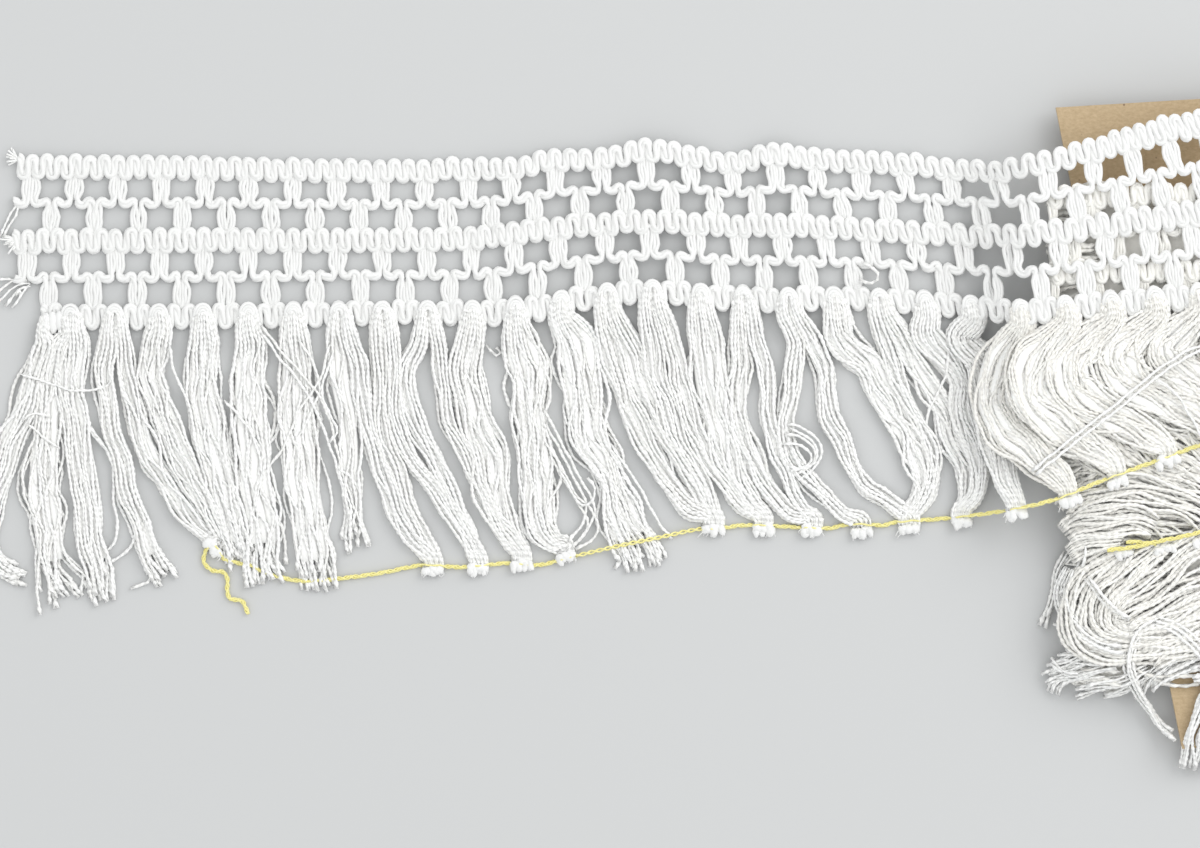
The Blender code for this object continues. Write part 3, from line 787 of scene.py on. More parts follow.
def follow(line, gap):
    """Distances along a route, its middle line and widths there, and its direction sideways."""
    distance = along(line[:, :2])
    at = np.linspace(0, distance[-1], max(8, int(distance[-1] / gap)))
    middle = smooth(distance, line, at)
    ahead = np.gradient(middle[:, :2], axis=0)
    ahead /= np.linalg.norm(ahead, axis=1)[:, None]
    return at, middle, np.stack([-ahead[:, 1], ahead[:, 0]], axis=1)


# %% Comb the locks
HEAD_AT = (0.0, 0.35, 1.0, 1.8, 4.0, 6.8, 12.0)
HEAD_RISE = (-0.3, 1.3, 2.0, 2.3, 2.3, 1.8, 0.0)
LOCK_STEP = 1.1
LOCK_EDGE = 0.47
LAYERS, LAYER = 3, 0.66
FOLD_FADES = 26.0
FULLNESS = 1.25
WILD_SHARE, WILD_DRIFT = 0.14, 2.2
LOWEST_YARN, LOWEST_HEAD = 0.45, 0.1
CUT_ERROR, SPLAY_LONG, SPLAY = 3.2, 9.0, 0.6
CORE_PLACES, CORE_WIDE, CORE_FLAT, CORE_RAISED = (-0.27, 0.0, 0.27), 0.14, 0.5, 1.05


def comb_lock(skein, cores, lock, height=rise):
    """Lays every yarn of a lock, and the plain strands that fill its inside."""
    line, fold = lock_line(lock)
    at, middle, aside = follow(line, LOCK_STEP)
    count, long = len(at), at[-1]
    common = waver(at, 16.0, 0.25) * np.clip((at - 8) / 10, 0, 1)
    tied = lock.tuft is not FREE
    ease = np.clip((at - 5) / 14, 0, 1) * lock.loose
    if tied:
        ease = ease * np.clip((long - at) / 12, 0, 1)
    spread = np.clip((at - 4) / 7, 0.25, 1) * np.clip((long - at) / 9, 0.45, 1)
    ground = height(middle[:, 0]) + fold * np.clip(1 - at / FOLD_FADES, 0, 1)
    for number, place in enumerate(np.linspace(-LOCK_EDGE, LOCK_EDGE, round(lock.yarns * FULLNESS))):
        layer = (number * 2) % LAYERS
        wild = WILD_DRIFT if dice.random() < WILD_SHARE else 1.0
        drift = (waver(at, 26.0, 0.085) * wild + dice.normal(0, 0.035)) * ease
        crimp = (waver(at, 9.0, 0.10) + waver(at, 4.5, 0.05)) * np.clip(ease, 0.2, 2)
        out = middle[:, 2] * (place + drift) + common + crimp
        path = np.zeros((count, 3))
        path[:, :2] = middle[:, :2] + aside * out[:, None]
        start = 1.5 * (2 * place) ** 2
        over_head = np.interp(at - start, HEAD_AT, HEAD_RISE) * (1 - 0.5 * (2 * place) ** 2)
        path[:, 2] = ground + LOWEST_YARN + over_head + layer * LAYER * spread + waver(at, 14.0, 0.12)
        path[:, 2] = np.maximum(path[:, 2], ground + np.where(at < 3, LOWEST_HEAD, LOWEST_YARN))
        keep = at > start - 0.3
        if not tied:
            keep &= at < long - abs(dice.normal(0, CUT_ERROR))
            splay = np.clip(1 - (long - at) / SPLAY_LONG, 0, 1)
            path[:, :2] += np.outer(splay, dice.normal(0, SPLAY, 2))
        lay_yarn(skein, path[keep], YARN * dice.uniform(0.84, 1.12), not tied, True)
    inner = (at > 5) & (at < long - (1.5 if tied else 9.0))
    for place in CORE_PLACES:
        path = np.zeros((count, 3))
        path[:, :2] = middle[:, :2] + aside * (middle[:, 2] * place + common)[:, None]
        path[:, 2] = ground + CORE_RAISED + np.interp(at, HEAD_AT, HEAD_RISE) * 0.5
        wide = middle[:, 2] * CORE_WIDE
        cores.add(rings(path[inner][::4], wide[inner][::4], 6, 0.0, CORE_FLAT))


groups = (
    ("fringe_left", LEFT_LOCKS, yarn_cotton),
    ("fringe_middle", MIDDLE_LOCKS, yarn_cotton),
    ("fringe_right", RIGHT_LOCKS, yarn_cotton),
    ("fringe_on_turns", LOCKS_ON_TURNS, warm_shade_cotton),
)
cores = Skein()
for name, group, finish in groups:
    skein = Skein()
    for lock in group:
        comb_lock(skein, cores, lock)
    skein.to_object(name, finish)
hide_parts("fringe")

# %% [markdown]
# ## The heads
# Each yarn of a lock is hooked over the lower band, so on top of the head the yarns lie in
# round arches, one inside the other. Three arches of thicker yarn show that, and a rounded
# lump fills the inside. A lump is a tube too: its rings grow from a point to full width and
# shrink again.

# %% Shape the heads
HEAD_BARS = range(1, 29)
HEAD_TOP, HEAD_LONG, HEAD_WIDE, HEAD_FLAT = -16.7, 6.4, 2.2, 0.62
HEAD_RAISED = 1.1
LUMP_FULL = 2.3


def add_lump(skein, start, end, wide, flat, sides=12, steps=11, rough=0.04):
    """Adds a rounded lump between two points."""
    start, end = np.asarray(start, float), np.asarray(end, float)
    share = 0.5 - 0.5 * np.cos(np.pi * np.linspace(0.0, 1.0, steps))
    path = start + (end - start) * share[:, None]
    grown = np.sqrt(np.maximum(1 - np.abs(2 * share - 1) ** LUMP_FULL, 0.0))
    tube = rings(path, np.maximum(wide * grown, 0.05), sides, 0.0, flat)
    skein.add(tube + dice.normal(0, rough, tube.shape), dice.uniform(0.5, 0.9))


for bar in HEAD_BARS:
    top, low = heading_place(bar, np.array([HEAD_TOP, HEAD_TOP - HEAD_LONG])) + (0, 0, HEAD_RAISED)
    add_lump(cores, top, low, HEAD_WIDE * dice.uniform(0.92, 1.08), HEAD_FLAT)
lock_cores = cores.to_object("lock_cores", yarn_cotton)

# %% Arches over the heads
ARCH_WIDE, ARCH_TALL, ARCH_MIDDLE, ARCH_FOOT = 2.1, 2.6, -19.8, -23.8
ARCH_SIZES = (1.0, 0.70, 0.40)
ARCH_YARN, ARCH_FLAT = 0.50, 0.9
ARCH_RAISED, ARCH_INNER, ARCH_CROWN = 2.25, 0.6, 0.35
ARCH_SINKS = (1.9, 0.7)


def head_arch(bar, size):
    """One arch over a head. Size 1 is the outermost."""
    turn = np.linspace(-0.5 * np.pi, 0.5 * np.pi, 11)
    x = ARCH_WIDE * size * np.sin(turn)
    height = ARCH_MIDDLE + ARCH_TALL * size * np.cos(turn)
    x = np.concatenate([[x[0]] * 2, x, [x[-1]] * 2])
    legs = (ARCH_FOOT, (ARCH_FOOT + ARCH_MIDDLE) / 2)
    height = np.concatenate([legs, height, legs[::-1]])
    path = heading_place(bar, height)
    path[:, 0] += x
    crown = ARCH_CROWN * np.cos(np.linspace(-1.5, 1.5, len(x)))
    path[:, 2] += ARCH_RAISED + ARCH_INNER * (1 - size) + crown
    path[:2, 2] -= ARCH_SINKS
    path[-2:, 2] -= ARCH_SINKS[::-1]
    return path


skein = Skein()
for bar in HEAD_BARS:
    side = dice.normal(0, 0.12, 2)
    for size in ARCH_SIZES:
        path = head_arch(bar, size * dice.uniform(0.95, 1.05))
        path[:, :2] += side
        thick = ARCH_YARN * (1 + waver(along(path), 5.0, 0.06))
        skein.add(rings(path, thick, 6, 0.0, ARCH_FLAT), dice.uniform(0.3, 0.9))
head_arches = skein.to_object("head_arches", cord_cotton)

# %% [markdown]
# ## The yellow holding thread
# A machine has sewn the lower ends of the locks together with a chain stitch, which looks
# like a little plait. Between two locks it is thick, and over a lock only one strand shows,
# which presses the yarns together. Two strands that swing from side to side make a chain
# with small eyes, and a third between them fills it where the stitches are short.

# %% Route of the thread
THREAD = (
    (248, 614), (243, 602), (230, 598), (227, 590), (228, 581), (223, 572), (211, 570), (204, 561),
    (206, 550), (213, 545), (219, 549), (223, 558), (234, 562), (252, 566), (269, 574), (304, 581),
    (343, 578), (380, 573), (424, 565), (459, 567), (510, 563), (538, 565), (575, 556), (617, 546),
    (660, 537), (699, 529), (713, 529), (747, 525), (796, 527), (829, 528), (850, 524), (884, 525),
    (896, 522), (948, 518), (998, 511), (1050, 499), (1098, 480), (1150, 461), (1200, 443),
    (1262, 422), (1322, 405),
)
TAIL_POINTS = 10
CROSSING_X, CROSSING_WIDE, CROSSING_RAISED = -16.0, 9.0, 1.9


def raised(x):
    """Extra height of the thread where it crosses a lock that isn't sewn to it."""
    return CROSSING_RAISED * np.exp(-(((x - CROSSING_X) / CROSSING_WIDE) ** 2))


print(f"the thread's route has {len(THREAD)} points, {TAIL_POINTS} of them in its tail")

# %% Plait the thread
PLAIT_REACH, PLAIT_WAVE, PLAIT_STRAND = 0.40, 4.6, 0.27
PLAIT_PHASES = (0.0, 0.5, 0.25)
PLAIT_STEP = 0.5
PLAIT_RAISED, GATHER_RAISED, GATHER_HALF = 0.75, 1.15, 3.1
GATHER_NARROWER, GATHER_SINKS = 0.75, 1.7
STRAND_CROSSING = 0.26
OPEN_CHAIN = (-33.0, 2.5)


def add_plait(skein, points, gathers=(), height=rise):
    """Adds the plaited thread. It thins out over the places in gathers."""
    flat = np.array([on_table(x, y) for x, y in points])
    distance = along(flat)
    at = np.arange(0.0, distance[-1], PLAIT_STEP)
    line = smooth(distance, flat, at)
    path = np.zeros((len(at), 3))
    path[:, :2] = line
    near = np.zeros(len(at))
    for place in gathers:
        gap = np.linalg.norm(line - np.array(place), axis=1)
        near = np.maximum(near, np.exp(-((gap / GATHER_HALF) ** 4)))
    path[:, 2] = height(line[:, 0]) + PLAIT_RAISED + GATHER_RAISED * near + raised(line[:, 0])
    ahead = np.gradient(path, axis=0)
    aside = np.cross(ahead, (0.0, 0.0, 1.0))
    aside /= np.linalg.norm(aside, axis=1)[:, None]
    for number, start in enumerate(PLAIT_PHASES):
        phase = 2 * np.pi * (at / PLAIT_WAVE + start)
        out = PLAIT_REACH * np.sin(phase) * (1 - GATHER_NARROWER * near)
        up = STRAND_CROSSING * np.cos(2 * phase) - (GATHER_SINKS * near if number else 0.0)
        strand = path + aside * out[:, None]
        strand[:, 2] += up
        parts = [np.arange(len(at))]
        if number == 2:
            parts = [np.flatnonzero(line[:, 0] < OPEN_CHAIN[0]), np.flatnonzero(line[:, 0] > OPEN_CHAIN[1])]
        for part in parts:
            if len(part) > 2:
                skein.add(rings(strand[part], PLAIT_STRAND, 5), dice.uniform(0.3, 0.9))


gathers = [on_table(x, y) for x, y in TUFTS]
skein = Skein()
add_plait(skein, THREAD, gathers)
holding_thread = skein.to_object("holding_thread", yellow_thread)
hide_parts("chain_stitch")

# %% [markdown]
# ## Tufts below the thread
# Under each gather the yarns turn back in short loops, which have rubbed into a soft tuft.
# Each tuft is a row of rough lumps with a few fine fibres that stand off.

# %% Make the tufts
TUFT_DROP, TUFT_RAISED = 0.8, 1.25
LUMP_PLACES = (-1.4, 0.0, 1.4)
FIBRE, FIBRES = 0.13, 9


def add_tuft(skein, x, y, z, slope, size=1.0):
    """Adds a tuft below a place on the thread."""
    way = np.array([math.cos(slope), math.sin(slope), 0.0])
    down = np.array([way[1], -way[0], 0.0])
    centre = np.array([x, y, z]) + down * TUFT_DROP * size
    for offset in LUMP_PLACES:
        start = centre + way * (offset - 1.5) * size + down * dice.normal(-0.1, 0.3)
        end = centre + way * (offset + 1.5) * size + down * dice.normal(0.1, 0.3)
        add_lump(skein, start, end, 1.25 * size * dice.uniform(0.85, 1.1), 0.85, 9, 7, 0.10)
    for place in np.linspace(-2.1, 2.1, 4) + dice.normal(0, 0.35, 4):
        start = centre + way * place * size - down * 0.9 * size
        end = start + (down * dice.uniform(2.2, 3.5) + way * dice.normal(0, 0.6)) * size
        start[2] += dice.normal(0.2, 0.25)
        add_lump(skein, start, end, dice.uniform(0.85, 1.30) * size, 0.85, 8, 7, 0.11)
    for place in dice.uniform(-2.8, 2.8, FIBRES):
        foot = centre + way * place * size + down * dice.uniform(-0.4, 0.8)
        tip = foot + down * dice.uniform(1.0, 1.9) * size + way * dice.normal(0, 0.6)
        bend = (foot + tip) / 2 + way * dice.normal(0, 0.3) + np.array([0, 0, 0.4])
        skein.add(rings(np.array([foot, bend, tip]), FIBRE, 4), 0.8)


thread_xy = np.array([on_table(x, y) for x, y in THREAD])
skein = Skein()
for x, y in gathers:
    nearest = int(np.argmin(np.abs(thread_xy[TAIL_POINTS:, 0] - x))) + TAIL_POINTS
    before, after = thread_xy[nearest - 1], thread_xy[min(nearest + 1, len(thread_xy) - 1)]
    slope = math.atan2(after[1] - before[1], after[0] - before[0])
    add_tuft(skein, x, y, float(rise(x)) + TUFT_RAISED, slope)
tufts = skein.to_object("tufts", cord_cotton)

# %% [markdown]
# ## Stray yarns and frayed ends
# Handling pulls single yarns out of their locks, and the cut ends of the cords come
# undone. They are few, but the eye looks for them, so each is listed one by one: how thick it
# is, its height over what lies below at its start and end, and its route in pixels.

# %% Stray yarns
Stray = namedtuple("Stray", "thick z_start z_end route")
STRAYS = (
    Stray(0.45, 2.6, 1.8, (
        (20, 374), (38, 379), (58, 386), (78, 391), (97, 389), (110, 384), (113, 372), (112, 362),
    )),
    Stray(0.42, 2.6, 2.0, ((24, 421), (29, 415), (37, 413), (50, 417))),
    Stray(0.42, 2.6, 1.8, ((27, 423), (36, 430), (47, 439), (60, 449))),
    Stray(0.55, 1.6, 0.7, (
        (84, 415), (92, 432), (100, 442), (112, 458), (114, 480), (114, 503), (118, 525), (113, 545),
        (100, 554),
    )),
    Stray(0.55, 1.6, 0.7, (
        (90, 425), (104, 446), (115, 468), (121, 492), (130, 512), (135, 526), (133, 544), (121, 556),
        (103, 565),
    )),
    Stray(0.50, 1.2, 0.6, ((138, 530), (148, 552), (152, 568), (149, 580), (142, 585), (131, 588))),
    Stray(0.50, 2.3, 2.0, ((334, 352), (322, 392), (333, 420), (338, 432), (329, 442))),
    Stray(0.50, 2.0, 0.7, ((338, 468), (352, 478), (361, 498), (359, 515), (366, 532), (370, 546))),
    Stray(0.50, 1.0, 0.7, ((486, 345), (492, 351), (498, 356), (501, 352), (497, 348))),
    Stray(0.50, 2.2, 1.2, (
        (545, 410), (556, 432), (568, 455), (581, 480), (591, 497), (595, 512), (588, 528), (577, 542),
        (566, 550),
    )),
    Stray(0.50, 2.0, 1.2, (
        (546, 424), (560, 450), (574, 478), (585, 500), (586, 515), (578, 530), (568, 541),
    )),
    Stray(0.50, 1.8, 1.2, (
        (548, 440), (563, 470), (577, 496), (592, 510), (598, 525), (592, 540), (575, 549),
    )),
    Stray(0.50, 1.6, 1.2, ((550, 455), (565, 482), (580, 506), (588, 522), (583, 537), (571, 547))),
    Stray(0.46, 2.2, 1.9, ((560, 470), (572, 492), (583, 506), (593, 500), (594, 486), (588, 478))),
    Stray(0.50, 2.2, 0.8, ((612, 446), (624, 464), (634, 478), (645, 497), (656, 518), (671, 539))),
    Stray(0.46, 2.2, 0.8, ((610, 452), (622, 470), (634, 492), (641, 512), (643, 530))),
    Stray(0.50, 2.6, 1.4, (
        (262, 325), (282, 352), (303, 375), (322, 400), (333, 430), (340, 462), (352, 500), (370, 545),
    )),
    Stray(0.50, 2.8, 1.6, (
        (262, 332), (280, 358), (300, 382), (316, 410), (328, 440), (338, 470), (345, 500),
    )),
    Stray(0.48, 2.6, 1.4, ((300, 340), (312, 360), (320, 388), (310, 415), (298, 440), (290, 470))),
    Stray(0.48, 2.6, 1.4, ((330, 345), (320, 380), (300, 410), (285, 445), (262, 480), (252, 520))),
    Stray(0.48, 2.8, 1.4, ((170, 345), (176, 375), (190, 405), (196, 440), (215, 470), (240, 500))),
    Stray(0.48, 2.6, 1.2, ((225, 400), (250, 430), (262, 470), (255, 505), (246, 545), (244, 572))),
    Stray(0.50, 2.4, 2.0, (
        (790, 428), (802, 434), (814, 444), (817, 456), (810, 466), (798, 470), (788, 464),
    )),
    Stray(0.50, 2.2, 1.8, ((786, 424), (803, 428), (818, 441), (821, 456), (812, 470), (800, 478))),
    Stray(0.50, 2.6, 1.8, ((784, 433), (800, 437), (812, 446), (815, 458), (808, 468), (796, 474))),
    Stray(0.50, 2.8, 2.0, ((782, 444), (796, 444), (808, 450), (811, 460), (802, 468), (790, 470))),
    Stray(0.48, 2.4, 1.6, ((948, 352), (946, 372), (938, 392), (928, 412), (925, 434))),
    Stray(0.50, 3.5, 3.2, (
        (1215, 340), (1185, 350), (1158, 366), (1135, 384), (1110, 405), (1085, 424), (1055, 448),
        (1028, 470),
    )),
    Stray(0.50, 3.7, 3.3, (
        (1216, 344), (1186, 355), (1160, 371), (1137, 389), (1112, 410), (1087, 429), (1057, 453),
        (1031, 474),
    )),
    Stray(0.42, 3.3, 2.6, ((1150, 378), (1168, 392), (1184, 415), (1198, 442))),
    Stray(0.50, 3.0, 2.6, ((861, 262), (868, 266), (877, 272), (877, 280), (868, 284), (860, 279))),
)


def lay_stray(skein, stray, height=rise):
    """Lays one stray yarn on top of what is below it."""
    flat = np.array([on_table(x, y) for x, y in stray.route])
    distance = along(flat)
    at = np.linspace(0, distance[-1], max(6, int(distance[-1] / 1.5)))
    path = np.zeros((len(at), 3))
    path[:, :2] = smooth(distance, flat, at)
    path[:, :2] += np.stack([waver(at, 7.0, 0.12), waver(at, 7.0, 0.12)], axis=1)
    path[:, 2] = height(path[:, 0]) + np.interp(at, (0, distance[-1]), (stray.z_start, stray.z_end))
    lay_yarn(skein, path, stray.thick, True)


skein = Skein()
for stray in STRAYS:
    lay_stray(skein, stray)
print(f"{len(STRAYS)} stray yarns")

# %% Frayed ends of the cords
Fray = namedtuple("Fray", "x y turn spread count reach")
FRAYS = (
    Fray(20, 160, 165, 80, 16, 3.6),
    Fray(20, 240, 190, 100, 18, 4.6),
    Fray(20, 289, 250, 50, 8, 1.7),
    Fray(658, 292, 60, 300, 16, 2.6),
)
PLY_ENDS = (
    ((28, 196), (20, 203), (12, 212), (6, 224), (0, 236)),
    ((27, 199), (19, 207), (15, 218), (8, 228), (3, 238)),
    ((30, 280), (20, 279), (10, 283), (-2, 292), (-8, 298)),
    ((30, 283), (20, 284), (11, 290), (2, 299), (-6, 305)),
    ((31, 286), (22, 288), (14, 295), (6, 306)),
    ((30, 281), (18, 281), (6, 279), (-5, 280)),
    ((31, 284), (24, 291), (18, 300), (12, 308)),
)
PLY_END = 0.40
FRAY_FIBRE, FRAY_RAISED = 0.24, 1.4

for route in PLY_ENDS:
    lay_stray(skein, Stray(PLY_END, 1.1, 0.6, route))
for fray in FRAYS:
    x, y = on_table(fray.x, fray.y)
    for _ in range(fray.count):
        turn = math.radians(fray.turn + fray.spread * dice.uniform(-0.5, 0.5))
        reach = fray.reach * dice.uniform(0.5, 1.1)
        t = np.linspace(0, 1, 6)
        route = np.zeros((6, 3))
        route[:, 0] = x + reach * t * math.cos(turn) + 0.4 * t**2 * dice.normal()
        route[:, 1] = y + reach * t * math.sin(turn) + 0.4 * t**2 * dice.normal()
        route[:, 2] = FRAY_RAISED + rise(x) + t * dice.uniform(-0.9, 0.8)
        skein.add(rings(route, FRAY_FIBRE, 4), dice.uniform(0.4, 1.0))
stray_yarns = skein.to_object("stray_yarns", yarn_cotton)

# %% [markdown]
# ## The wound turns
# Under the top turn lies the rest of the trim, turn upon turn. Nobody sees all of it, so
# only its outer form is built: a soft body with the ridges of the locks on it, wrapped in
# strands that go round both edges of the card, where the turns show from the side.

# %% The body of the wound turns
Turn = namedtuple("Turn", "y left height")
PACK_HEIGHT, PACK_RIGHT = 12.6, 191.0
PACK = (
    Turn(63.0, 97.5, 0.70), Turn(58.0, 95.5, 0.92), Turn(50.0, 94.0, 0.98), Turn(40.0, 94.5, 1.00),
    Turn(30.0, 94.5, 0.97), Turn(19.0, 95.0, 0.99), Turn(8.0, 95.5, 0.96), Turn(-3.0, 96.0, 0.98),
    Turn(-13.0, 98.0, 0.95), Turn(-22.0, 99.5, 0.88), Turn(-31.0, 99.5, 0.86), Turn(-40.0, 99.0, 0.82),
    Turn(-49.0, 96.5, 0.78), Turn(-57.0, 95.5, 0.75), Turn(-65.0, 96.0, 0.70), Turn(-73.0, 99.0, 0.62),
)
SHOULDER_AT, SHOULDER_UP = (0.0, 2.0, 6.0, 11.0), (0.38, 0.66, 0.87, 0.97)


def pack_edge(y):
    """Left edge of the wound turns at places across the trim, and the share of their height."""
    return smooth([-turn.y for turn in PACK], [turn[1:] for turn in PACK], -np.atleast_1d(y)).T


def pack_top(x, y):
    """Height of the upper face of the wound turns at a place."""
    left, share = pack_edge(y)
    inward = np.minimum(x - left, PACK_RIGHT - x)
    return PACK_HEIGHT * share * np.interp(inward, SHOULDER_AT, SHOULDER_UP)


print("the wound turns are", pack_top(120.0, 40.0).round(1)[0], "mm high under the heading")

# %% Outline of the body
RIDGE, RIDGE_PITCH, RIDGE_LEAN = 0.10, 13.0, 0.6
SINK = 1.5
TUCK, TUCK_FROM, TUCK_LONG = 4.5, -8.0, 12.0
BODY_ROWS, BODY_COLUMNS = np.linspace(60.5, -72.0, 60), 44


def pack_section(y, shrink):
    """Outline of the wound turns at one place across the trim, drawn in by shrink."""
    edge, share = pack_edge(y)[:, 0]
    tucked = TUCK * np.clip((TUCK_FROM - y) / TUCK_LONG, 0.0, 1.0)
    left, tall = edge + shrink + tucked, PACK_HEIGHT * share
    right = PACK_RIGHT - shrink
    xs = np.linspace(left, right, BODY_COLUMNS)
    inward = np.minimum(xs - left, right - xs)
    up = np.interp(inward, SHOULDER_AT, SHOULDER_UP)
    ridge = RIDGE * (0.5 + 0.5 * np.cos(2 * np.pi * (xs + RIDGE_LEAN * y) / RIDGE_PITCH))
    top = tall * (up - ridge * np.clip(inward / 8, 0, 1)) - shrink
    low = np.clip(1.6 - inward * 0.5, 0.0, 2.0) + shrink * 0.5
    ring = [(x, y, z) for x, z in zip(xs, top)] + [(x, y, z) for x, z in zip(xs[::-1], low[::-1])]
    return np.array(ring)


body = Skein()
body.add(np.array([pack_section(y, SINK) for y in BODY_ROWS])[:, ::-1], 0.3)
wound_body = body.to_object("wound_body", warm_shade_cotton)
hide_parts("wound_turns")

# %% Strands round both edges
WRAP_FROM, WRAP_TO, WRAP_GAP = -71.5, 62.5, 1.55
WRAP_YARN, WRAP_STEP, WRAP_POINTS, WRAP_LOWEST = 0.80, 1.7, 18, 0.62
WRAP_INSET, WRAP_LOW_INSET, WRAP_LOW = 0.6, 3.4, -18.0
# Each point is millimetres in from the edge, and a share of the pack's height.
WRAP_OUTLINE = np.array((
    (13.0, 0.97), (9.0, 0.93), (6.0, 0.86), (2.6, 0.70), (0.7, 0.45),
    (0.9, 0.22), (3.0, 0.08), (8.0, 0.06), (14.0, 0.05),
))


def wrap_line(y, inset, side):
    """A strand round the left edge (side 1) or right edge (side -1), from top to underside."""
    edge, share = pack_edge(y)[:, 0]
    tall = PACK_HEIGHT * share
    distance = along(WRAP_OUTLINE * (1.0, tall))
    line = smooth(distance, WRAP_OUTLINE, np.linspace(0, distance[-1], WRAP_POINTS))
    path = np.zeros((WRAP_POINTS, 3))
    path[:, 0] = (edge + inset if side > 0 else PACK_RIGHT) + side * line[:, 0]
    path[:, 1] = y + waver(distance[-1] * np.linspace(0, 1, WRAP_POINTS), 20.0, 0.7)
    path[:, 2] = np.maximum(line[:, 1] * tall, WRAP_LOWEST)
    return path


wraps = Skein()
for y in np.arange(WRAP_FROM, WRAP_TO, WRAP_GAP):
    inset = WRAP_INSET if y > WRAP_LOW else WRAP_LOW_INSET
    for side in (1.0, -1.0):
        path = wrap_line(y + dice.normal(0, 0.3), inset, side)
        path[:, 0] += side * abs(dice.normal(0, 0.9))
        lay_yarn(wraps, path, WRAP_YARN, step=WRAP_STEP)
edge_strands = wraps.to_object("edge_strands", warm_shade_cotton)

# %% [markdown]
# ## The turn below
# Through the gaps of the top heading one sees the heading of the turn below, a little
# lower on the card. It is laid with the same functions as the first.

# %% Second heading
SECOND_BANDS = ((20.25, 2.45), (0.0, 2.5), (-20.0, 2.2))
SECOND_LONG, SECOND_STEPS = 7.34, 14

skein = Skein()
for middle, reach in SECOND_BANDS:
    line = zigzag(0.0, SECOND_LONG, middle, reach, SECOND_TURN, SECOND_STEPS)
    lay_cord(skein, line, np.ones(1), sides=5)
second_bands = skein.to_object("second_bands", warm_shade_cotton)
skein = Skein()
for drop in (0.0, LOWER_ROW):
    lay_cord(skein, *meander(0, 8, drop, SECOND_TURN), sides=5)
second_cords = skein.to_object("second_cords", warm_shade_cotton)

# %% [markdown]
# ## The pile of locks
# Below the top thread the locks of the turns underneath lie in a pile: some run across the
# card, and some turn back in a wide bend. A bunch is a lock that isn't tied to a heading.
# It has the number of its yarns, how loosely they lie, its height over the pack at both
# ends, and its route. A thick mat of crossing yarns and one row of plain locks lie under
# it, so that no gap between two bunches shows the bare body.

# %% Bunches of the pile
Bunch = namedtuple("Bunch", "yarns loose z_start z_end route")
PILE = (
    Bunch(16, 1.2, 0.5, 2.2, (
        (1063, 512, 22), (1072, 503, 28), (1100, 494, 34), (1140, 492, 36), (1185, 505, 36),
        (1240, 525, 36), (1300, 548, 36), (1360, 560, 36),
    )),
    Bunch(14, 1.2, 0.4, 1.8, (
        (1062, 533, 24), (1072, 526, 28), (1100, 521, 30), (1135, 522, 26), (1158, 532, 18),
    )),
    Bunch(12, 1.2, 0.3, 1.6, (
        (1066, 553, 18), (1075, 549, 20), (1095, 543, 20), (1116, 540, 16), (1124, 546, 14),
    )),
    Bunch(14, 1.2, 0.8, 1.4, (
        (1125, 549, 14), (1108, 560, 22), (1086, 577, 27), (1072, 600, 26), (1072, 626, 24),
        (1088, 646, 22), (1118, 655, 20), (1155, 650, 18), (1200, 646, 18), (1260, 640, 20),
        (1330, 630, 22),
    )),
    Bunch(14, 1.2, 1.0, 1.4, (
        (1158, 544, 14), (1142, 560, 24), (1118, 580, 28), (1099, 602, 27), (1100, 624, 24),
        (1125, 634, 22), (1165, 630, 22), (1215, 618, 22), (1280, 606, 24), (1350, 598, 26),
    )),
    Bunch(18, 1.2, 1.4, 1.0, (
        (1210, 533, 32), (1186, 550, 34), (1160, 568, 36), (1134, 588, 32), (1114, 606, 24),
        (1108, 622, 16), (1124, 630, 15), (1155, 622, 18), (1195, 606, 24), (1240, 592, 28),
        (1300, 582, 28), (1360, 576, 28),
    )),
    Bunch(14, 1.2, 1.8, 1.6, (
        (1250, 570, 30), (1210, 585, 30), (1170, 603, 28), (1135, 620, 20), (1118, 632, 12),
    )),
    Bunch(14, 1.2, 0.6, 1.2, (
        (1375, 575, 30), (1330, 590, 32), (1280, 600, 32), (1230, 612, 30), (1195, 630, 28),
        (1165, 645, 24), (1140, 665, 20),
    )),
    Bunch(16, 1.2, 0.8, 1.0, (
        (1385, 520, 34), (1340, 535, 34), (1290, 560, 34), (1250, 590, 34), (1240, 625, 30),
        (1262, 655, 28), (1300, 672, 28),
    )),
    Bunch(14, 1.1, 0.4, 0.6, (
        (1390, 600, 30), (1370, 625, 30), (1340, 650, 30), (1300, 665, 28), (1240, 672, 24),
        (1190, 672, 22),
    )),
)
print(f"{len(PILE)} bunches in the pile")

# %% Plain locks and the mat under the pile
LOWER_LOCK = ((0, 372, 36), (-10, 398, 42), (2, 430, 42), (34, 458, 40), (76, 480, 38), (112, 502, 34))
LOWER_STARTS, LOWER_END = range(1068, 1390, 44), 1384
LOWER_LOCKS = tuple(
    Bunch(18, 1.1, -0.5, -0.2, tuple((min(start + x, LOWER_END), y, width) for x, y, width in LOWER_LOCK))
    for start in LOWER_STARTS
)
MAT_ROW = ((1072, 0), (1110, -8), (1170, 10), (1250, -4), (1330, 8), (1386, 0))
MAT_ROWS, MAT_WIDE = range(410, 650, 46), 62
MAT = tuple(
    Bunch(17, 1.4, -0.7, -0.7, tuple((x, y + step, MAT_WIDE) for x, step in MAT_ROW))
    for y in MAT_ROWS
)
print(f"{len(LOWER_LOCKS)} plain locks and {len(MAT)} rows of the mat")

# %% Comb a bunch
BUNCH_STEP = 2.2
BUNCH_LAYER = 0.6
FRAYED_SPLAY, TIED_SPLAY = 0.5, 0.1


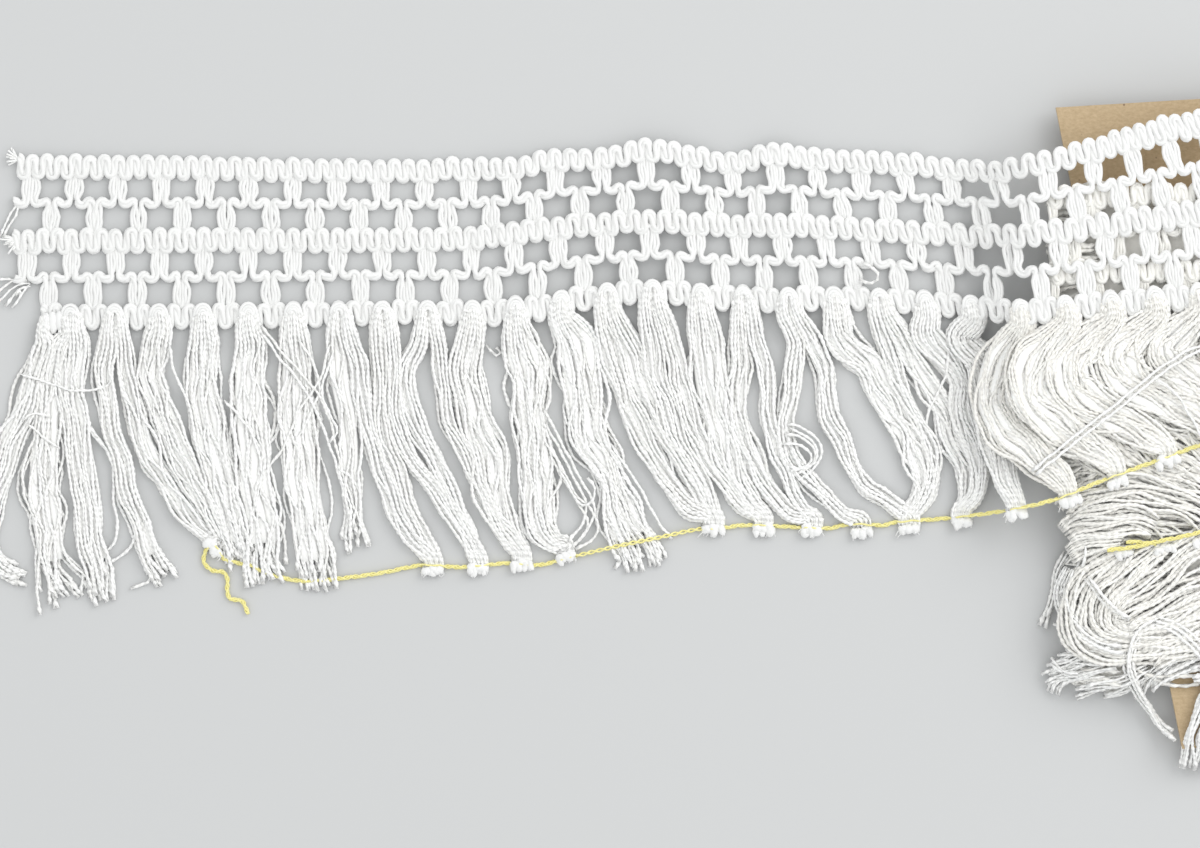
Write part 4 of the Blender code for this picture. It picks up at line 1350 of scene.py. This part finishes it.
def comb_bunch(skein, bunch, height, frayed=False, trim=1.5, step=YARN_STEP, sides=5, thick=YARN):
    """Lays a bunch of yarns that isn't tied to the heading."""
    line = np.array([(*on_table(x, y), width * PIXEL) for x, y, width in bunch.route])
    at, middle, aside = follow(line, BUNCH_STEP)
    count, long = len(at), at[-1]
    common = waver(at, 16.0, 0.25)
    splay = np.clip(1 - (long - at) / SPLAY_LONG, 0, 1)
    for number, place in enumerate(np.linspace(-LOCK_EDGE, LOCK_EDGE, bunch.yarns)):
        drift = waver(at, 28.0, 0.08) * bunch.loose + dice.normal(0, 0.03)
        out = middle[:, 2] * (place + drift) + common + waver(at, 9.0, 0.1)
        path = np.zeros((count, 3))
        path[:, :2] = middle[:, :2] + aside * out[:, None]
        ground = height(path[:, 0], path[:, 1])
        ground = np.convolve(np.pad(ground, 2, mode="edge"), np.ones(5) / 5, mode="valid")
        path[:, 2] = ground + np.interp(at, (0, long), (bunch.z_start, bunch.z_end))
        path[:, 2] += (number * 2 % LAYERS) * BUNCH_LAYER + waver(at, 14.0, 0.15)
        path[:, :2] += np.outer(splay, dice.normal(0, FRAYED_SPLAY if frayed else TIED_SPLAY, 2))
        path = path[at < long - abs(dice.normal(0, trim))]
        lay_yarn(skein, path, thick * dice.uniform(0.86, 1.1), frayed, step=step, sides=sides)


# %% Lay the bunches
PILE_YARN, LOWER_YARN = 0.66, 0.62

skein = Skein()
for bunch in MAT:
    comb_bunch(skein, bunch, pack_top, step=2.8, sides=4, thick=PILE_YARN)
for bunch in LOWER_LOCKS:
    comb_bunch(skein, bunch, pack_top, step=2.4, thick=LOWER_YARN)
hidden_locks = skein.to_object("hidden_locks", warm_shade_cotton)
skein = Skein()
for bunch in PILE:
    comb_bunch(skein, bunch, pack_top, step=1.7, thick=PILE_YARN)
second_locks = skein.to_object("second_locks", warm_shade_cotton)

# %% [markdown]
# ## Loose ends under the pack
# At the lower left the yarns' ends stick out of the pile. They lie partly on the pack,
# partly on the card beside it and partly on the table, so a small function says how high
# the ground is. The first ends have come undone into their single plies, which are thin
# and stand apart. The others are still whole yarns.

# %% The ground below the loose ends
CARD_TOP = 6.4
CARD_LEFT, CARD_SLANT, CARD_UPPER, CARD_LONG = 97.5, 34.0, 83.5, 172.5
CARD_LOWER = -90.0
PACK_LEFT, PACK_LOWER, ENDS_SINK = 100.0, -73.0, 2.0


def from_pack_to_table(x, y):
    """Height of what the loose ends lie on: the pack, the card beside it, or the table."""
    card_edge = CARD_LEFT + (CARD_UPPER - y) * CARD_SLANT / CARD_LONG
    outside = np.where((x > card_edge) & (y > CARD_LOWER), CARD_TOP, 0.0)
    on_pack = np.maximum(pack_top(x, y) - ENDS_SINK, outside)
    return np.where((x < PACK_LEFT) | (y < PACK_LOWER), outside, on_pack)


print("ground at the lowest ends:", from_pack_to_table(np.array([120.0]), np.array([-95.0]))[0], "mm")

# %% Lay the loose ends
PLY_ENDS_OF_LOCKS = (
    Bunch(3, 1.8, 3.0, 2.0, (
        (1098, 646, 8), (1084, 638, 8), (1066, 629, 9), (1045, 619, 12),
    )),
    Bunch(4, 1.8, 2.8, 1.8, (
        (1100, 652, 10), (1082, 643, 10), (1068, 638, 12), (1050, 634, 14),
    )),
    Bunch(5, 1.8, 2.6, 1.4, (
        (1102, 656, 14), (1084, 652, 14), (1068, 652, 14), (1051, 652, 16),
    )),
    Bunch(2, 1.6, 2.6, 1.6, (
        (1100, 660, 6), (1078, 661, 6), (1060, 666, 6), (1049, 655, 5),
    )),
    Bunch(7, 1.8, 2.6, 1.0, (
        (1110, 650, 18), (1085, 655, 17), (1062, 665, 14), (1039, 672, 18),
    )),
    Bunch(6, 1.8, 2.4, 1.0, (
        (1112, 660, 14), (1088, 665, 14), (1064, 674, 12), (1036, 684, 14),
    )),
    Bunch(3, 1.6, 2.8, 2.4, (
        (1075, 672, 6), (1062, 672, 6), (1054, 665, 6), (1048, 654, 5),
    )),
    Bunch(6, 1.8, 2.0, 0.7, (
        (1100, 668, 12), (1078, 674, 12), (1058, 684, 12), (1049, 702, 12),
    )),
    Bunch(7, 1.8, 1.8, 0.7, (
        (1146, 668, 16), (1122, 682, 15), (1096, 686, 15), (1066, 690, 16),
    )),
    Bunch(4, 1.5, 1.6, 0.7, (
        (1140, 676, 8), (1128, 687, 8), (1114, 692, 8), (1096, 695, 8),
    )),
    Bunch(6, 1.3, 2.0, 1.2, (
        (1165, 662, 10), (1150, 672, 10), (1140, 688, 10), (1134, 705, 11),
    )),
)
WHOLE_ENDS = (
    Bunch(3, 1.0, 1.4, 0.8, (
        (1066, 553, 6), (1058, 567, 5), (1054, 585, 6), (1051, 605, 5), (1043, 622, 5), (1038, 634, 4),
    )),
    Bunch(2, 1.0, 2.6, 1.6, (
        (1081, 545, 4), (1080, 560, 4), (1070, 578, 4), (1056, 592, 4), (1046, 600, 4),
    )),
    Bunch(7, 1.0, 3.4, 3.6, (
        (1068, 568, 12), (1060, 588, 13), (1063, 610, 13), (1078, 630, 13), (1098, 642, 13),
        (1128, 647, 12),
    )),
    Bunch(4, 1.0, 4.4, 2.2, (
        (1152, 620, 9), (1138, 628, 10), (1128, 642, 10), (1126, 660, 9), (1130, 680, 7), (1143, 702, 6),
        (1163, 726, 6), (1182, 744, 6),
    )),
    Bunch(2, 1.0, 4.8, 4.4, ((1082, 577, 4), (1098, 596, 4), (1116, 613, 4), (1136, 622, 4))),
    Bunch(8, 1.2, 3.8, 3.4, (
        (1150, 618, 12), (1168, 626, 12), (1186, 640, 12), (1206, 655, 12), (1240, 668, 14),
        (1280, 672, 14),
    )),
    Bunch(9, 1.2, 2.6, 1.4, (
        (1215, 640, 18), (1196, 648, 16), (1176, 660, 14), (1160, 668, 14), (1151, 668, 16),
    )),
    Bunch(11, 1.2, 2.2, 1.4, ((1260, 660, 20), (1222, 668, 20), (1198, 672, 18), (1180, 677, 18))),
    Bunch(6, 1.0, 1.6, 1.0, ((1210, 655, 14), (1185, 664, 12), (1160, 678, 10), (1144, 694, 9))),
    Bunch(16, 1.0, 3.4, 0.9, (
        (1262, 664, 16), (1226, 680, 20), (1207, 702, 24), (1198, 730, 28), (1195, 777, 32),
    )),
)
PLY_THICK = 0.46
ENDS_ERROR = 2.4

skein = Skein()
for ends, thick in ((PLY_ENDS_OF_LOCKS, PLY_THICK), (WHOLE_ENDS, YARN)):
    for bunch in ends:
        comb_bunch(skein, bunch, from_pack_to_table, True, ENDS_ERROR, thick=thick)
loose_ends = skein.to_object("loose_ends", yarn_cotton)

# %% [markdown]
# ## The knot at the cut end
# The first head has slipped off its bar, and its cord has drawn together into a small knot.
# Three lumps side by side, each from an upper to a lower pixel, are enough at this size.

# %% Tie the knot
KNOT = (((46, 313), (47, 331)), ((53, 311), (54, 334)), ((60, 311), (61, 331)))
KNOT_UPPER, KNOT_LOWER, KNOT_WIDE, KNOT_FLAT = 2.3, 1.9, 1.3, 0.7

skein = Skein()
for upper, lower in KNOT:
    start, end = (*on_table(*upper), KNOT_UPPER), (*on_table(*lower), KNOT_LOWER)
    add_lump(skein, start, end, KNOT_WIDE, KNOT_FLAT, rough=0.10)
end_knot = skein.to_object("end_knot", cord_cotton)

# %% [markdown]
# ## The thread of the turn below
# The turn below has a holding thread and tufts of its own, which show on the pile. The same
# functions make them. The thread lies level, so its height is one number. A short second
# piece of it shows a little nearer the heading.

# %% Second thread and its tufts
SECOND_THREAD = (
    (1103, 549), (1112, 548), (1121, 547), (1134, 545), (1146, 542), (1160, 539),
    (1175, 536), (1200, 530), (1240, 521), (1290, 510), (1350, 500),
)
SHORT_THREAD = ((1122, 541), (1132, 541), (1143, 542), (1152, 543))
SECOND_TUFTS = ((1119, 549), (1159, 545), (1196, 537), (1234, 528), (1272, 520), (1310, 512), (1348, 506))
SECOND_RAISED, SECOND_SLOPE, SECOND_SIZE = 2.4, 0.25, 0.9


def level(height):
    """A level ground at one height."""
    return lambda x: np.full_like(x, height)


skein = Skein()
for x, y in SECOND_TUFTS:
    x, y = on_table(x, y)
    add_tuft(skein, x, y, float(pack_top(x, y)[0]) + SECOND_RAISED, SECOND_SLOPE, SECOND_SIZE)
second_tufts = skein.to_object("second_tufts", cord_cotton)
skein = Skein()
add_plait(skein, SECOND_THREAD, height=level(13.2))
add_plait(skein, SHORT_THREAD, height=level(12.4))
second_thread = skein.to_object("second_thread", yellow_thread)

# %% [markdown]
# ## The winding card
# The card is stiff brown board made of waste paper. Its solid is right as it is, so it
# only gets a finish: a warm brown that varies softly, fine short fibres along one
# direction, and dark flecks of old print. Object coordinates keep the grain in place.

# %% Board
BOARD = (0.46, 0.35, 0.21)
DARK_FIBRE, PALE_FIBRE = (0.37, 0.27, 0.15), (0.56, 0.43, 0.275)
FLECK = (0.20, 0.13, 0.08, 1.0)
BOARD_ROUGHNESS = 0.82
FLECK_BARE = 0.52
WHITE, BLACK = (1.0, 1.0, 1.0), (0.0, 0.0, 0.0)


def brown_board():
    """Recycled board with fibres and dark flecks."""
    made, tree, shader = new_material("brown_board", BOARD, BOARD_ROUGHNESS)
    link = tree.links.new
    body = tree.nodes.new("ShaderNodeTexCoord")
    stretch = tree.nodes.new("ShaderNodeMapping")
    stretch.inputs["Scale"].default_value = (1.0, 1.7, 1.0)
    link(body.outputs["Object"], stretch.inputs["Vector"])
    grain = node(tree, "ShaderNodeTexNoise", Scale=900.0, Detail=6.0, Roughness=0.75)
    link(stretch.outputs["Vector"], grain.inputs["Vector"])
    tints = colour_ramp(tree, (0.25, DARK_FIBRE), (0.75, PALE_FIBRE))
    link(grain.outputs["Fac"], tints.inputs["Fac"])
    flecks = node(tree, "ShaderNodeTexVoronoi", Scale=330.0, Randomness=1.0)
    link(body.outputs["Object"], flecks.inputs["Vector"])
    spots = colour_ramp(tree, (0.07, WHITE), (0.13, BLACK))
    link(flecks.outputs["Distance"], spots.inputs["Fac"])
    few = node(tree, "ShaderNodeTexNoise", Scale=160.0, Detail=1.0)
    link(body.outputs["Object"], few.inputs["Vector"])
    chosen = node(tree, "ShaderNodeMath", operation="GREATER_THAN")
    chosen.inputs[1].default_value = FLECK_BARE
    link(few.outputs["Fac"], chosen.inputs[0])
    both = node(tree, "ShaderNodeMath", operation="MULTIPLY")
    link(spots.outputs["Color"], both.inputs[0])
    link(chosen.outputs[0], both.inputs[1])
    paint = node(tree, "ShaderNodeMix", data_type="RGBA")
    under, over, result = paint.inputs[6], paint.inputs[7], paint.outputs[2]
    over.default_value = FLECK
    link(both.outputs[0], paint.inputs[0])
    link(tints.outputs["Color"], under)
    link(result, shader.inputs["Base Color"])
    bump = node(tree, "ShaderNodeBump", Strength=0.35, Distance=0.00012)
    link(grain.outputs["Fac"], bump.inputs["Height"])
    link(bump.outputs["Normal"], shader.inputs["Normal"])
    return made


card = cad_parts["winding_card"]
card.data.materials.clear()
card.data.materials.append(brown_board())
print("the card's finish:", card.data.materials[0].name)

# %% [markdown]
# ## What is cloth here
# The heading is a flat textile: 47 mm wide and 345 mm long,
# with gaps in about a third of it. The bands, heads, locks and thread are pieces on it.

# %% [markdown]
# ## Table and bounds
# The table is a large plain sheet of pale grey card. It isn't part of the trim, so it is
# marked as stage.

# %% Table
TABLE = 3.0
GREY = (0.532, 0.538, 0.538)
TABLE_ROUGHNESS = 0.8

table_mesh = bpy.data.meshes.new("table")
corners = [(-TABLE, -TABLE, 0), (TABLE, -TABLE, 0), (TABLE, TABLE, 0), (-TABLE, TABLE, 0)]
table_mesh.from_pydata(corners, [], [(0, 1, 2, 3)])
table_finish, _, _ = new_material("pale_card", GREY, TABLE_ROUGHNESS)
table_mesh.materials.append(table_finish)
table = bpy.data.objects.new("table", table_mesh)
bpy.context.collection.objects.link(table)
table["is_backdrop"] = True
print(f"a table of {2 * TABLE:.0f} m")

# %% Bounds of what is shown
shown_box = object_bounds()
for name, box in (("solids", solid_box), ("shown", shown_box)):
    print(name, [[round(value / MM, 1) for value in corner] for corner in box], "mm")
